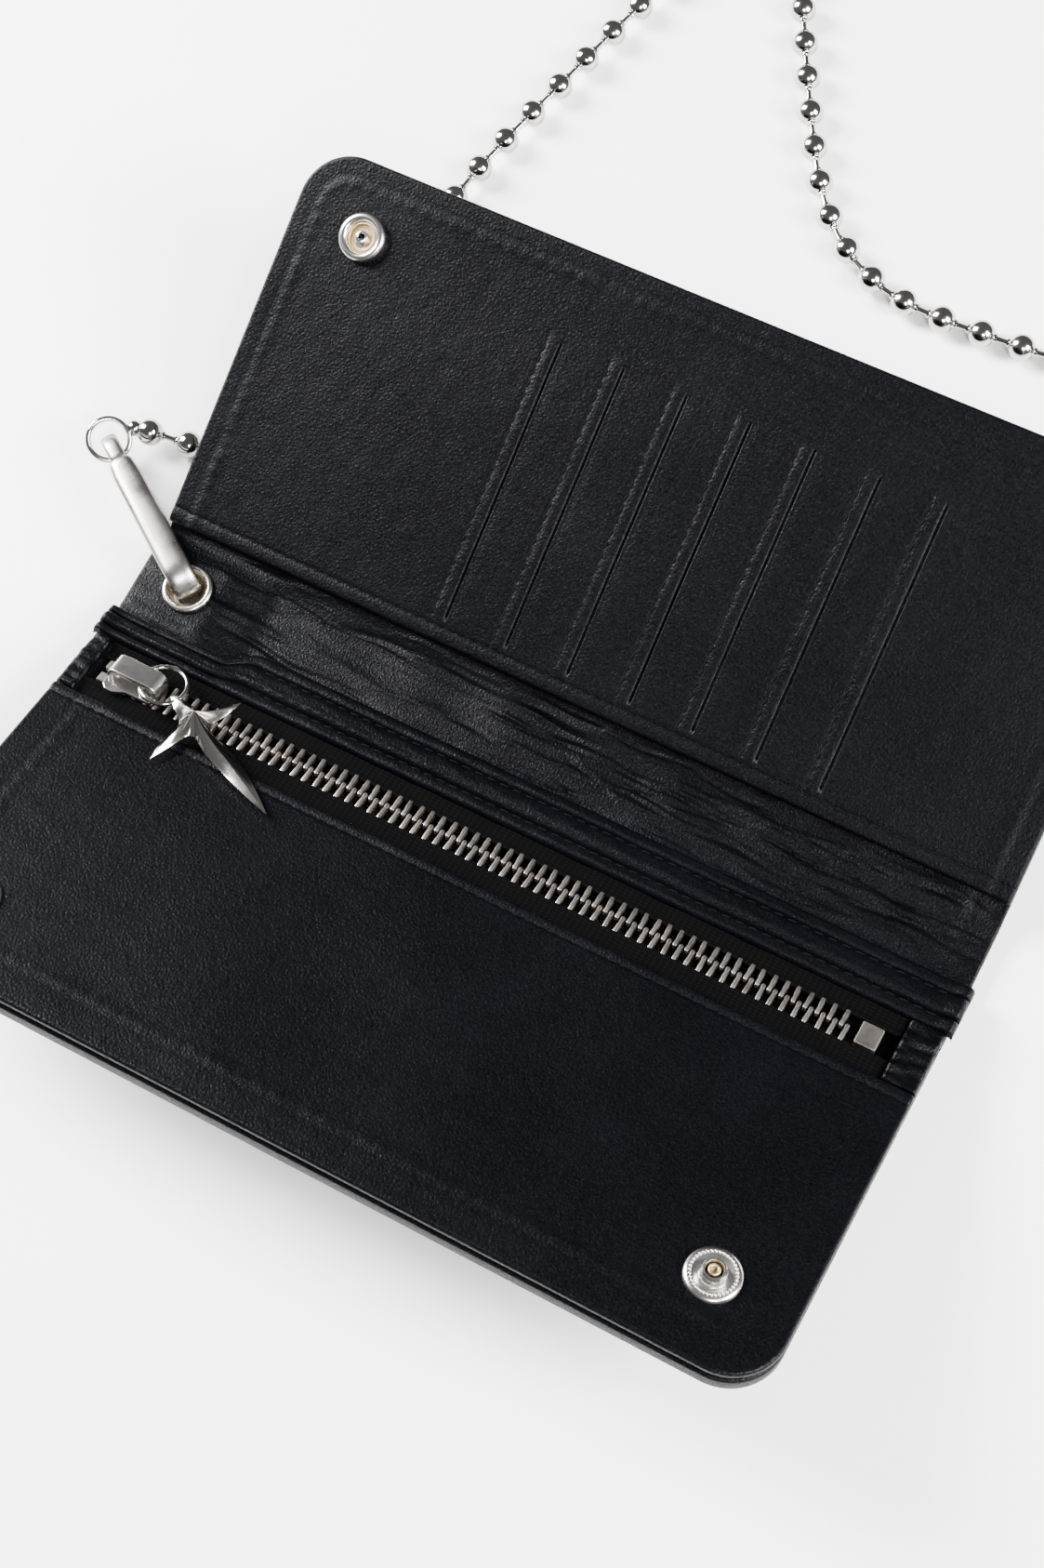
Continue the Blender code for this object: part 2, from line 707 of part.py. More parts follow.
def make_ring(swivel):
    """The oval spring ring through the eyelet. It stands on edge, and local X leads away from the
    eyelet along its length."""
    inner = RING_RADIUS - RING_STEEL
    middle = RING_RADIUS

    def path(radius, upper, near_arc, far_arc, lower):
        points = [(upper, middle + radius)] if upper is not None else []
        if near_arc:
            points += arc(RING_NEAR, middle, radius, 90, 270)
        if far_arc:
            points += arc(RING_FAR, middle, radius, 90, -90)
        points.append((lower, middle - radius))
        return points

    body_end = RING_FAR - 0.0012
    body = band(
        path(RING_RADIUS, body_end, True, False, GATE_FROM),
        path(inner, body_end, True, False, GATE_FROM),
        RING_WIDTH,
    )
    bevel(add("ring_body", body, finishes["steel"], swivel), 0.0006)

    fork = GATE_PIN - 0.0014
    bow = band(
        path(RING_RADIUS, body_end + GAP, False, True, fork),
        path(inner, body_end + GAP, False, True, fork),
        BOW_WIDTH,
    )
    bow = add("ring_bow", bow, finishes["steel"], swivel)
    slot = box(fork - 0.001, GATE_PIN + 0.0016, -0.0010, 0.0010, -0.001, RING_STEEL + 0.0006)
    cut(bow, add("bow_slot", slot, finishes["guide"], swivel))

    level = RING_STEEL / 2
    gate_axis = empty("ring_gate_axis", (GATE_PIN, 0, level), parent=swivel)
    length = GATE_PIN - GATE_FROM - GAP
    tongue = 0.0007
    outline = [(-length, -BOW_WIDTH / 2), (-0.0018, -BOW_WIDTH / 2), (-0.0018, -tongue)]
    outline += [(0.0009, -tongue), (0.0009, tongue), (-0.0018, tongue)]
    outline += [(-0.0018, BOW_WIDTH / 2), (-length, BOW_WIDTH / 2)]
    gate = add("ring_gate", prism(outline, -level, 0.7 * level), finishes["steel"], gate_axis)
    for target, half in ((gate, 0.001), (bow, 0.003)):
        name = f"{target.name}_pin_hole"
        drill = add(name, rod(PIN_HOLE, -half, half, 16), finishes["guide"], swivel)
        drill.location = (GATE_PIN, 0, level)
        drill.rotation_euler = (math.pi / 2, 0, 0)
        cut(target, drill)
    pin = rod(PIN_RADIUS, -BOW_WIDTH / 2, BOW_WIDTH / 2, 16)
    place = (GATE_PIN, 0, level)
    turn = (math.pi / 2, 0, 0)
    add("ring_gate_pin", pin, finishes["steel"], swivel, place, turn, round_shape=True)

    reach = (JUMP_RING_OUTSIDE - JUMP_RING_WIRE) / 2
    held = (
        JUMP_RING_CENTRE - reach * math.cos(JUMP_RING_TILT),
        0,
        JUMP_RING_HEIGHT - reach * math.sin(JUMP_RING_TILT),
    )
    hinge = empty("jump_ring_axis", held, (0, -JUMP_RING_TILT, 0), swivel)
    jump = hoop(JUMP_RING_OUTSIDE, JUMP_RING_WIRE)
    add("jump_ring", jump, finishes["steel"], hinge, (reach, 0, 0), round_shape=True)


def coupling_profile(length):
    """Half the section of a small drum whose near edge is rounded off."""
    shoulder = COUPLING_RADIUS - 0.0003
    return [(0, 0), (shoulder, 0), (COUPLING_RADIUS, 0.0006), (COUPLING_RADIUS, length), (0, length)]


def make_chain():
    """The chain, laid out as one strand, with the coupling at each end and the clasp."""
    even = catmull([Vector(point) for point in CHAIN_ROUTE], CHAIN_POINTS)
    chain_tube("ball_chain", even, finishes["chain"], None)
    start, second = even[0], even[1]
    along = (second - start).normalized()
    coupling = turned(coupling_profile(0.0020), 16)
    turn = (-along).to_track_quat("Z", "Y").to_euler()
    add("chain_coupling", coupling, finishes["chain"], None, start - along * GAP, turn)

    end, before = even[-1], even[-2]
    along = (end - before)
    along.z = 0
    along.normalize()
    clasp = empty("clasp_axis", end + along * 0.0002, (0, 0, math.atan2(along.y, along.x)))
    far_coupling = turned(coupling_profile(0.0022), 16)
    turn = (0, math.pi / 2, 0)
    add("clasp_coupling", far_coupling, finishes["chain"], clasp, (GAP, 0, 0), turn)
    stem = turned(
        [
            (0, 0.0029),
            (0.0016, 0.0029),
            (0.0020, 0.0036),
            (0.0020, 0.0060),
            (STEM_RADIUS, 0.0064),
            (STEM_RADIUS, STEM_END),
            (STEM_HEAD, STEM_END),
            (STEM_HEAD, STEM_END + 0.0009),
            (0, STEM_END + 0.0009),
        ],
        16,
    )
    add("clasp_swivel", stem, finishes["steel"], clasp, (0, 0, 0), turn, round_shape=True)

    near = STEM_END - GAP - CLASP_STEEL + CLASP_RADIUS
    far = near + CLASP_LENGTH
    inside = CLASP_RADIUS - CLASP_STEEL
    gate_end = near + 0.0022
    pin_x = far - 0.0010

    def frame_path(radius):
        points = [(gate_end, -radius), (near, -radius)]
        points += arc(near, 0, radius, 270, 90)[1:]
        points += arc(far, 0, radius, 90, -90)
        points.append((pin_x, -radius))
        return points

    outline = frame_path(CLASP_RADIUS) + frame_path(inside)[::-1]
    frame = prism(outline, -CLASP_HEIGHT / 2, CLASP_HEIGHT / 2)
    frame = add("clasp_frame", frame, finishes["steel"], clasp)
    bore = rod(STEM_HOLE, 0, STEM_END + 0.003, 16)
    drill = add("stem_hole", bore, finishes["guide"], clasp, (0, 0, 0), turn)
    cut(frame, drill)
    length = pin_x - gate_end - 2 * GAP
    gate_axis = empty("clasp_gate_axis", (pin_x - GAP, CLASP_STEEL / 2 - CLASP_RADIUS, 0), parent=clasp)
    half = CLASP_STEEL / 2
    gate = box(-length, 0, -half, half, -CLASP_HEIGHT / 2, CLASP_HEIGHT / 2)
    add("clasp_gate", gate, finishes["steel"], gate_axis)


clear_scene()
finishes = {
    "leather": material("black_leather", (0.012, 0.012, 0.016), 0.42),
    "lining": material("black_lining", (0.015, 0.015, 0.018), 0.5),
    "foam": material("padding_foam", (0.05, 0.05, 0.055), 0.9),
    "fabric": material("zip_tape_fabric", (0.012, 0.012, 0.013), 0.85),
    "steel": material("nickel_steel", (0.62, 0.60, 0.57), 0.25, 1.0),
    "chrome": material("polished_nickel", (0.75, 0.74, 0.72), 0.1, 1.0),
    "chain": material("chain_nickel", (0.66, 0.65, 0.62), 0.15, 1.0),
    "brass": material("antique_brass", (0.50, 0.44, 0.36), 0.35, 1.0),
    "guide": material("guide", (1.0, 0.5, 0.0), 0.5),
}
make_spine()
card_fold = empty("card_fold_axis", (0, SPINE_WIDTH / 2, FOLD_HEIGHT), (CARD_TILT, 0, 0))
make_card_panel(card_fold)
make_snap_sockets(card_fold)
coin_fold = empty("coin_fold_axis", (0, -SPINE_WIDTH / 2, FOLD_HEIGHT), (-COIN_TILT, 0, 0))
make_coin_panel(coin_fold)
make_studs(coin_fold)
make_zip(coin_fold)
zip_slider = make_slider(coin_fold)
make_pull(zip_slider)
ring_swivel = empty("ring_swivel_axis", EYELET, (0, 0, RING_ANGLE))
make_ring(ring_swivel)
make_chain()
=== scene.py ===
"""The looks of the chain wallet: leather, stitching, zip, snaps, ring and chain round the CAD frame."""

import math

import bmesh
import bpy
import numpy as np
from mathutils import Matrix, Vector


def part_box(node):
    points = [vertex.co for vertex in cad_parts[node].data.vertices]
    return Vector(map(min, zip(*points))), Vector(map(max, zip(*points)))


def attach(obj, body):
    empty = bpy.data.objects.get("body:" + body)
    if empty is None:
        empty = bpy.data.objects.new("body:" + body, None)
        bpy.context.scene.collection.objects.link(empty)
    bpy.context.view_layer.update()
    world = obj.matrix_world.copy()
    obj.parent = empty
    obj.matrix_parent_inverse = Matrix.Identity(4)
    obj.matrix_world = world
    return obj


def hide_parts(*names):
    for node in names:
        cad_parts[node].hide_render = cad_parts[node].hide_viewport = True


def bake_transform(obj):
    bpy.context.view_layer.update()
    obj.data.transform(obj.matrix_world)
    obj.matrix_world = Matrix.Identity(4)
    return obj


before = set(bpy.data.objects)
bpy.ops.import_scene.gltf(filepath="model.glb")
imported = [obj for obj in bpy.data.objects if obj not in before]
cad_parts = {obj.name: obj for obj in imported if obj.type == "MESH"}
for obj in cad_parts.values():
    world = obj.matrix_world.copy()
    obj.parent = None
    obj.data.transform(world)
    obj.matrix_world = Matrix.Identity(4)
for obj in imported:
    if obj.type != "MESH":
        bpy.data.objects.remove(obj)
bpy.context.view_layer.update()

MM = 0.001

# The folded leather: x runs along the fold, u out from it, n up through a panel's layers.
HALF_LENGTH = 96 * MM
DEPTH = 92 * MM
CORNER = 11 * MM
HALF_SPINE = 8.5 * MM
FOLD_HEIGHT = 0.9 * MM
CARD_TILT = math.radians(22.3)
COIN_TILT = math.radians(19.3)
BEND = 6 * MM
LEATHER = 1.4 * MM
RIM_TOP = 3.7 * MM
LINING = (2.7 * MM, 3.1 * MM)
FACING = (4.1 * MM, 5.2 * MM)
FRONT = (5.3 * MM, 6.5 * MM)
FACING_START = 7.2 * MM
LIFT = 3.0 * MM
LIFT_FROM = -66 * MM
LIFT_OVER = 13 * MM

SLITS = 7
SLIT_FIRST = -31.1 * MM
SLIT_PITCH = 14.1 * MM
SLIT_INNER = 12.5 * MM
SLIT_OUTER = 72.5 * MM
SEAM_BESIDE_SLIT = -3.1 * MM
CARD_BORDER = 5.6 * MM
COIN_BORDER = 8.6 * MM

WINDOW_INNER = 8.7 * MM
WINDOW_OUTER = 24.0 * MM
ZIP_LINE = 16.2 * MM
ZIP_PITCH = 2.52 * MM
TEETH_FROM = -86.8 * MM
TEETH_TO = 80.8 * MM
TAPE_LEVEL = 4.9 * MM
SLIDER_X = -81.3 * MM
PULL_OUTSIDE = 10.6 * MM
PULL_WIRE = 1.0 * MM
PULL_AHEAD = 6.0 * MM
PULL_SIDE = 1.1 * MM
PULL_LEVEL = 8.2 * MM
SNAP_X = 79.0 * MM
SNAP_U = 75.7 * MM
STUD_BEADS = 36
EYELET = Vector((-84.5 * MM, 2.0 * MM, 0))
EYELET_HOLE = 4.5 * MM
RING_ANGLE = math.radians(145.7)

BEAD = 5.9 * MM
BEAD_PITCH = 8.95 * MM
CHAIN_ROUTE = (
    (-0.1124, 0.0305, 0.0044),
    (-0.1079, 0.0316, 0.0033),
    (-0.1035, 0.0322, 0.00278),
    (-0.0968, 0.0337, 0.00278),
    (-0.0900, 0.0375, 0.00278),
    (-0.0842, 0.0435, 0.00278),
    (-0.0808, 0.0520, 0.00278),
    (-0.0796, 0.0620, 0.00278),
    (-0.0796, 0.0740, 0.00278),
    (-0.0800, 0.0880, 0.00278),
    (-0.0800, 0.1020, 0.00278),
    (-0.0786, 0.1150, 0.00278),
    (-0.0758, 0.1280, 0.00278),
    (-0.0722, 0.1420, 0.00278),
    (-0.0686, 0.1560, 0.00278),
    (-0.0649, 0.1695, 0.00278),
    (-0.0604, 0.1840, 0.00278),
    (-0.0535, 0.1975, 0.00278),
    (-0.0440, 0.2020, 0.00278),
    (-0.0366, 0.1950, 0.00278),
    (-0.0300, 0.1830, 0.00278),
    (-0.0228, 0.1700, 0.00278),
    (-0.0151, 0.1568, 0.00278),
    (-0.0078, 0.1455, 0.00278),
    (0.0005, 0.1362, 0.00278),
    (0.0097, 0.1302, 0.00278),
    (0.0185, 0.1272, 0.00278),
    (0.0275, 0.1264, 0.00278),
    (0.0361, 0.1266, 0.00278),
    (0.0445, 0.1270, 0.00278),
    (0.0535, 0.1276, 0.00278),
    (0.0630, 0.1290, 0.00278),
    (0.0718, 0.1328, 0.00278),
    (0.0784, 0.1398, 0.00278),
    (0.0812, 0.1490, 0.00278),
    (0.0800, 0.1590, 0.00278),
)


# ---- Shape helpers ----


def smooth(t):
    """0 below 0, 1 above 1, and an even turn between them."""
    t = np.clip(t, 0.0, 1.0)
    return t * t * (3 - 2 * t)


def ridge(distance, width):
    """A round bump of height 1 where distance is 0, gone at about `width`."""
    return np.exp(-((distance / (0.6 * width)) ** 2))


def rounded(distance, radius):
    """How far a surface has dropped at this distance inside an edge of that radius."""
    over = np.clip(1 - distance / radius, 0.0, 1.0)
    return radius * (1 - np.sqrt(1 - over * over))


def ripple(x, y, size, seed):
    """A smooth random surface between about -1 and 1, whose waves are about `size` long."""
    rng = np.random.RandomState(seed)
    total = 0.0
    for _ in range(7):
        angle = rng.uniform(0, math.pi)
        wave = rng.uniform(0.7, 1.6) * math.tau / size
        phase = rng.uniform(0, math.tau)
        total = total + np.sin((x * math.cos(angle) + y * math.sin(angle)) * wave + phase)
    return total / 3.2


def lines(low, high, step, extra=()):
    """Grid lines from low to high about a step apart, with extra ones where detail needs them."""
    inside = [value for value in extra if low + 0.05 * MM < value < high - 0.05 * MM]
    regular = np.linspace(low, high, round((high - low) / step) + 1)
    every = np.unique(np.round(np.concatenate([regular, inside]), 6))
    keep = np.concatenate([[True], np.diff(every) > 0.04 * MM])
    return every[keep]


def near_ends(low, high):
    """Extra grid lines close inside both ends, for their rounded edges."""
    steps = np.array([0.1, 0.25, 0.45, 0.7, 1.0]) * MM
    return [*(low + steps), *(high - steps)]


def edge_distance(x, u):
    """How far a point on a panel lies inside its outer edge, whose two corners are round."""
    across = HALF_LENGTH - np.abs(x)
    out = DEPTH - u
    from_arc = np.hypot(np.maximum(CORNER - across, 0), np.maximum(CORNER - out, 0))
    in_corner = (across < CORNER) & (out < CORNER)
    return np.where(in_corner, CORNER - from_arc, np.minimum(across, out))


def along_edge(x, u):
    """Distance along the outer edge, near enough to space puckers by."""
    return np.where(HALF_LENGTH - np.abs(x) < DEPTH - u, u, x)


def panel_grid(start, step, extra_x=(), extra_u=()):
    """Grid points (x, u) from `start` to the outer edge, whose rows narrow round the corners."""
    straight = DEPTH - CORNER
    rows = lines(start, straight, step, [*near_ends(start, straight + 5 * MM), *extra_u])
    turn = np.sin(np.radians(np.linspace(0, 90, 23)[1:]))
    rows = np.concatenate([rows, straight + CORNER * turn])
    over = np.clip(rows - straight, 0, CORNER)
    half = HALF_LENGTH - CORNER + np.sqrt(CORNER**2 - over**2)
    extra = [*near_ends(-HALF_LENGTH, HALF_LENGTH), *extra_x]
    share = lines(-HALF_LENGTH, HALF_LENGTH, step, extra) / HALF_LENGTH
    x = share[None, :] * half[:, None]
    u = np.repeat(rows[:, None], len(share), axis=1)
    return x, u


def spine_lift(x, v):
    """How far the spine's left end is raised over the ring, v away from the spine's middle."""
    return LIFT * smooth((LIFT_FROM - x) / LIFT_OVER) * (1 - smooth((np.abs(v) - 7 * MM) / (8 * MM)))


class Panel:
    """One folding side of the wallet, as it lies at rest."""

    def __init__(self, body, side, tilt):
        self.body = body
        self.side = side
        self.tilt = tilt

    def at(self, x, u, n):
        """Points in the row frame from x, u and n."""
        up = n - FOLD_HEIGHT
        y = HALF_SPINE + u * math.cos(self.tilt) - up * math.sin(self.tilt)
        z = FOLD_HEIGHT + u * math.sin(self.tilt) + up * math.cos(self.tilt)
        return np.stack(np.broadcast_arrays(x, self.side * y, z), axis=-1)

    def bent(self, x, v, n):
        """Points on a sheet that runs from the spine's middle line, v = 0, up onto the panel."""
        radius = BEND / self.tilt
        begin = HALF_SPINE - radius * math.tan(self.tilt / 2)
        turn = np.clip((v - begin) / radius, 0, self.tilt)
        past = np.maximum(v - begin - BEND, 0)
        up = n - FOLD_HEIGHT
        y = np.minimum(v, begin) + radius * np.sin(turn) + past * math.cos(self.tilt)
        z = FOLD_HEIGHT + radius * (1 - np.cos(turn)) + past * math.sin(self.tilt)
        y = y - up * np.sin(turn)
        z = z + up * np.cos(turn) + spine_lift(x, v)
        return np.stack(np.broadcast_arrays(x, self.side * y, z), axis=-1)

    def direction(self, x, u, n):
        """A row-frame direction from one in x, u and n."""
        return Vector(self.at(x, u, n) - self.at(0.0, 0.0, 0.0)).normalized()

    def matrix(self, x, u, n, turn=0.0):
        """A place on the panel: local X and Y lie in it and Z points out of it."""
        out = self.direction(0.0, 0.0, 1.0)
        along = Vector((1, 0, 0))
        basis = Matrix((along, out.cross(along), out)).transposed().to_4x4()
        spot = Matrix.Translation(Vector(self.at(x, u, n)))
        return spot @ basis @ Matrix.Rotation(turn, 4, "Z")


CARD = Panel("card_panel", 1, CARD_TILT)
COIN = Panel("coin_panel", -1, COIN_TILT)


# ---- Mesh helpers ----


def add_mesh(name, verts, faces, finish, sharp=50):
    """A new object with this mesh, its faces turned outwards and its shallow edges shaded smooth."""
    data = bpy.data.meshes.new(name)
    data.from_pydata([tuple(point) for point in verts], [], faces)
    shape = bmesh.new()
    shape.from_mesh(data)
    bmesh.ops.recalc_face_normals(shape, faces=shape.faces)
    shape.to_mesh(data)
    shape.free()
    return add_data(name, data, finish, sharp)


def add_data(name, data, finish, sharp=50):
    data.shade_smooth()
    data.set_sharp_from_angle(angle=math.radians(sharp))
    data.materials.append(finish)
    made = bpy.data.objects.new(name, data)
    bpy.context.scene.collection.objects.link(made)
    return made


def grid_faces(rows, columns, first=0, closed=False):
    """Quads of a grid of points numbered row by row. closed joins the last column to the first."""
    faces = []
    for row in range(rows - 1):
        for column in range(columns if closed else columns - 1):
            after = (column + 1) % columns
            a = first + row * columns
            b = a + columns
            faces.append((a + column, a + after, b + after, b + column))
    return faces


def shell(name, top, bottom, finish, gone=None):
    """A closed sheet between two grids of points of the same size. gone marks points of the grid
    that lie inside a hole, whose quads are left out."""
    rows, columns = top.shape[:2]
    quads = grid_faces(rows, columns)
    if gone is not None:
        inside = gone.reshape(-1)
        quads = [quad for quad in quads if not any(inside[corner] for corner in quad)]
    edges = set()
    for quad in quads:
        edges.update(zip(quad, quad[1:] + quad[:1]))
    kept = sorted({corner for quad in quads for corner in quad})
    number = {corner: index for index, corner in enumerate(kept)}
    count = len(kept)
    verts = np.concatenate([top.reshape(-1, 3)[kept], bottom.reshape(-1, 3)[kept]])
    faces = []
    for quad in quads:
        upper = tuple(number[corner] for corner in quad)
        faces.append(upper)
        faces.append(tuple(corner + count for corner in reversed(upper)))
    for here, after in sorted(edges):
        if (after, here) not in edges:
            first, second = number[here], number[after]
            faces.append((second, first, first + count, second + count))
    return add_mesh(name, verts, faces, finish)


def open_hole(x, v, middle, radius):
    """Marks the grid points inside a round hole, and draws the points just outside it onto its rim."""
    away = np.hypot(x - middle[0], v - middle[1])
    gone = away < radius
    padded = np.pad(gone, 1)
    rows, columns = gone.shape
    beside = np.zeros_like(gone)
    for down in range(3):
        for across in range(3):
            beside |= padded[down : down + rows, across : across + columns]
    share = np.where(beside & ~gone, radius / np.maximum(away, radius), 1.0)
    return middle[0] + (x - middle[0]) * share, middle[1] + (v - middle[1]) * share, gone


def turned(name, profile, finish, place, steps=48):
    """A solid of revolution about local Z. profile is a closed outline of (radius, height)."""
    shape = bmesh.new()
    verts = [shape.verts.new((radius, 0, height)) for radius, height in profile]
    edges = []
    for first, second in zip(verts, verts[1:] + verts[:1]):
        if first.co.x > 0 or second.co.x > 0:
            edges.append(shape.edges.new((first, second)))
    bmesh.ops.spin(
        shape,
        geom=verts + edges,
        cent=(0, 0, 0),
        axis=(0, 0, 1),
        angle=math.tau,
        steps=steps,
        use_merge=True,
    )
    bmesh.ops.remove_doubles(shape, verts=shape.verts, dist=1e-6)
    bmesh.ops.recalc_face_normals(shape, faces=shape.faces)
    data = bpy.data.meshes.new(name)
    shape.to_mesh(data)
    shape.free()
    made = add_data(name, data, finish, 40)
    made.matrix_world = place
    return made


def arc(radius, start, end, middle=(0.0, 0.0), steps=8):
    """Points along an arc, ends included, angles in degrees."""
    angles = np.radians(np.linspace(start, end, steps + 1))
    return [(middle[0] + radius * math.cos(a), middle[1] + radius * math.sin(a)) for a in angles]


def prism(name, outline, low, high, finish, place, bevel=0.2 * MM, segments=3):
    """A flat plate with this outline and rounded edges."""
    shape = bmesh.new()
    face = shape.faces.new([shape.verts.new((x, y, low)) for x, y in outline])
    moved = bmesh.ops.extrude_face_region(shape, geom=[face])["geom"]
    tops = [item for item in moved if isinstance(item, bmesh.types.BMVert)]
    bmesh.ops.translate(shape, verts=tops, vec=(0, 0, high - low))
    bmesh.ops.recalc_face_normals(shape, faces=shape.faces)
    data = bpy.data.meshes.new(name)
    shape.to_mesh(data)
    shape.free()
    made = add_data(name, data, finish, 40)
    made.matrix_world = place
    soften(made, bevel, segments)
    return made


def soften(obj, width, segments=3, angle=40):
    """Rounds the piece's edges with a bevel."""
    made = obj.modifiers.new("rounded_edges", "BEVEL")
    made.width = width
    made.segments = segments
    made.limit_method = "ANGLE"
    made.angle_limit = math.radians(angle)
    made.harden_normals = True
    return made


def tube(name, path, radii, finish, sides=20):
    """A closed tube along a path, with a radius for each point."""
    path = np.asarray(path, float)
    tangent = np.gradient(path, axis=0)
    tangent /= np.linalg.norm(tangent, axis=1)[:, None]
    side = np.zeros_like(path)
    guess = np.cross(tangent[0], (0, 0, 1.0))
    for index, direction in enumerate(tangent):
        guess = guess - direction * guess.dot(direction)
        guess = guess / np.linalg.norm(guess)
        side[index] = guess
    up = np.cross(side, tangent)
    angles = np.linspace(0, math.tau, sides, endpoint=False)
    radii = np.asarray(radii, float)[:, None, None]
    ring = np.cos(angles)[None, :, None] * side[:, None]
    ring = ring + np.sin(angles)[None, :, None] * up[:, None]
    verts = (path[:, None] + radii * ring).reshape(-1, 3)
    count = len(path)
    faces = grid_faces(count, sides, closed=True)
    faces += [tuple(range(sides)), tuple(range((count - 1) * sides, count * sides))]
    return add_mesh(name, verts, faces, finish, 70)


# One stitch: how far along it each section is, how high it rises and how thick it is there.
STITCH_SHAPE = ((0, -0.9, 0.55), (0.16, 0.15, 0.9), (0.5, 0.5, 1), (0.84, 0.15, 0.9), (1, -0.9, 0.55))


def stitches(name, starts, ends, normals, thickness, finish):
    """Sewn thread: one short stroke from each start to its end, whose two tips sink in."""
    starts, ends, normals = (np.asarray(item, float) for item in (starts, ends, normals))
    along = ends - starts
    side = np.cross(normals, along)
    side /= np.linalg.norm(side, axis=1)[:, None]
    sides = 7
    angles = np.linspace(0, math.tau, sides, endpoint=False)
    rings = []
    ring = np.cos(angles)[None, :, None] * side[:, None]
    ring = ring + np.sin(angles)[None, :, None] * normals[:, None]
    for share, rise, size in STITCH_SHAPE:
        middle = starts + along * share + normals * rise * thickness / 2
        rings.append(middle[:, None] + ring * size * thickness / 2)
    verts = np.stack(rings, axis=1).reshape(-1, 3)
    faces = []
    for index in range(len(starts)):
        first = index * len(rings) * sides
        last = first + (len(rings) - 1) * sides
        faces += grid_faces(len(rings), sides, first, closed=True)
        faces += [tuple(range(first, first + sides)), tuple(range(last, last + sides))]
    return add_mesh(name, verts, faces, finish, 80)


def sewn_line(points, pitch, length, slant=0.0):
    """Start and end (x, u) of each stitch along a line of (x, u) points."""
    points = np.asarray(points, float)
    steps = np.linalg.norm(np.diff(points, axis=0), axis=1)
    travelled = np.concatenate([[0], np.cumsum(steps)])
    count = int((travelled[-1] - length) / pitch)
    begin = np.arange(count + 1) * pitch
    found = []
    for place in (begin, begin + length):
        found.append(np.stack([np.interp(place, travelled, points[:, i]) for i in (0, 1)], axis=1))
    first, second = found
    across = (second - first)[:, ::-1] * (1, -1)
    across = across / np.linalg.norm(across, axis=1)[:, None]
    return first - across * slant, second + across * slant


def sew(name, panel, height, rows, finish, pitch=2.6 * MM):
    """Stitches on a panel along several lines of (x, u), lying on its surface height(x, u)."""
    length, thickness, slant = 1.9 * MM, 0.34 * MM, 0.12 * MM
    starts, ends = [], []
    for row in rows:
        first, second = sewn_line(row, pitch, length, slant)
        starts.append(first)
        ends.append(second)
    places = []
    for part in (np.concatenate(starts), np.concatenate(ends)):
        x, u = part[:, 0], part[:, 1]
        places.append(panel.at(x, u, height(x, u)))
    normals = np.repeat(np.array(panel.direction(0, 0, 1.0))[None], len(places[0]), axis=0)
    return stitches(name, places[0], places[1], normals, thickness, finish)


# ---- Materials ----


def new_material(name, color, roughness, metallic=0.0):
    """A material, its node tree's Principled shader, and a function that adds nodes to the tree."""
    made = bpy.data.materials.new(name)
    made.use_nodes = True
    tree = made.node_tree
    shader = tree.nodes["Principled BSDF"]
    shader.inputs["Base Color"].default_value = (*color, 1)
    shader.inputs["Roughness"].default_value = roughness
    shader.inputs["Metallic"].default_value = metallic
    coordinates = tree.nodes.new("ShaderNodeTexCoord").outputs["Object"]

    def node(kind, inputs=(), **settings):
        new = tree.nodes.new(kind)
        for key, value in settings.items():
            setattr(new, key, value)
        for key, value in dict(inputs).items():
            if isinstance(value, bpy.types.NodeSocket):
                tree.links.new(value, new.inputs[key])
            else:
                new.inputs[key].default_value = value
        return new

    return made, tree, shader, coordinates, node


def ramp(node, factor, low, high, start=0.3, end=0.7):
    """A node that turns a factor into a colour or a grey between low and high."""
    made = node("ShaderNodeValToRGB", {"Fac": factor})
    for element, position, value in zip(made.color_ramp.elements, (start, end), (low, high)):
        element.position = position
        element.color = (*value, 1) if hasattr(value, "__len__") else (value, value, value, 1)
    return made.outputs["Color"]


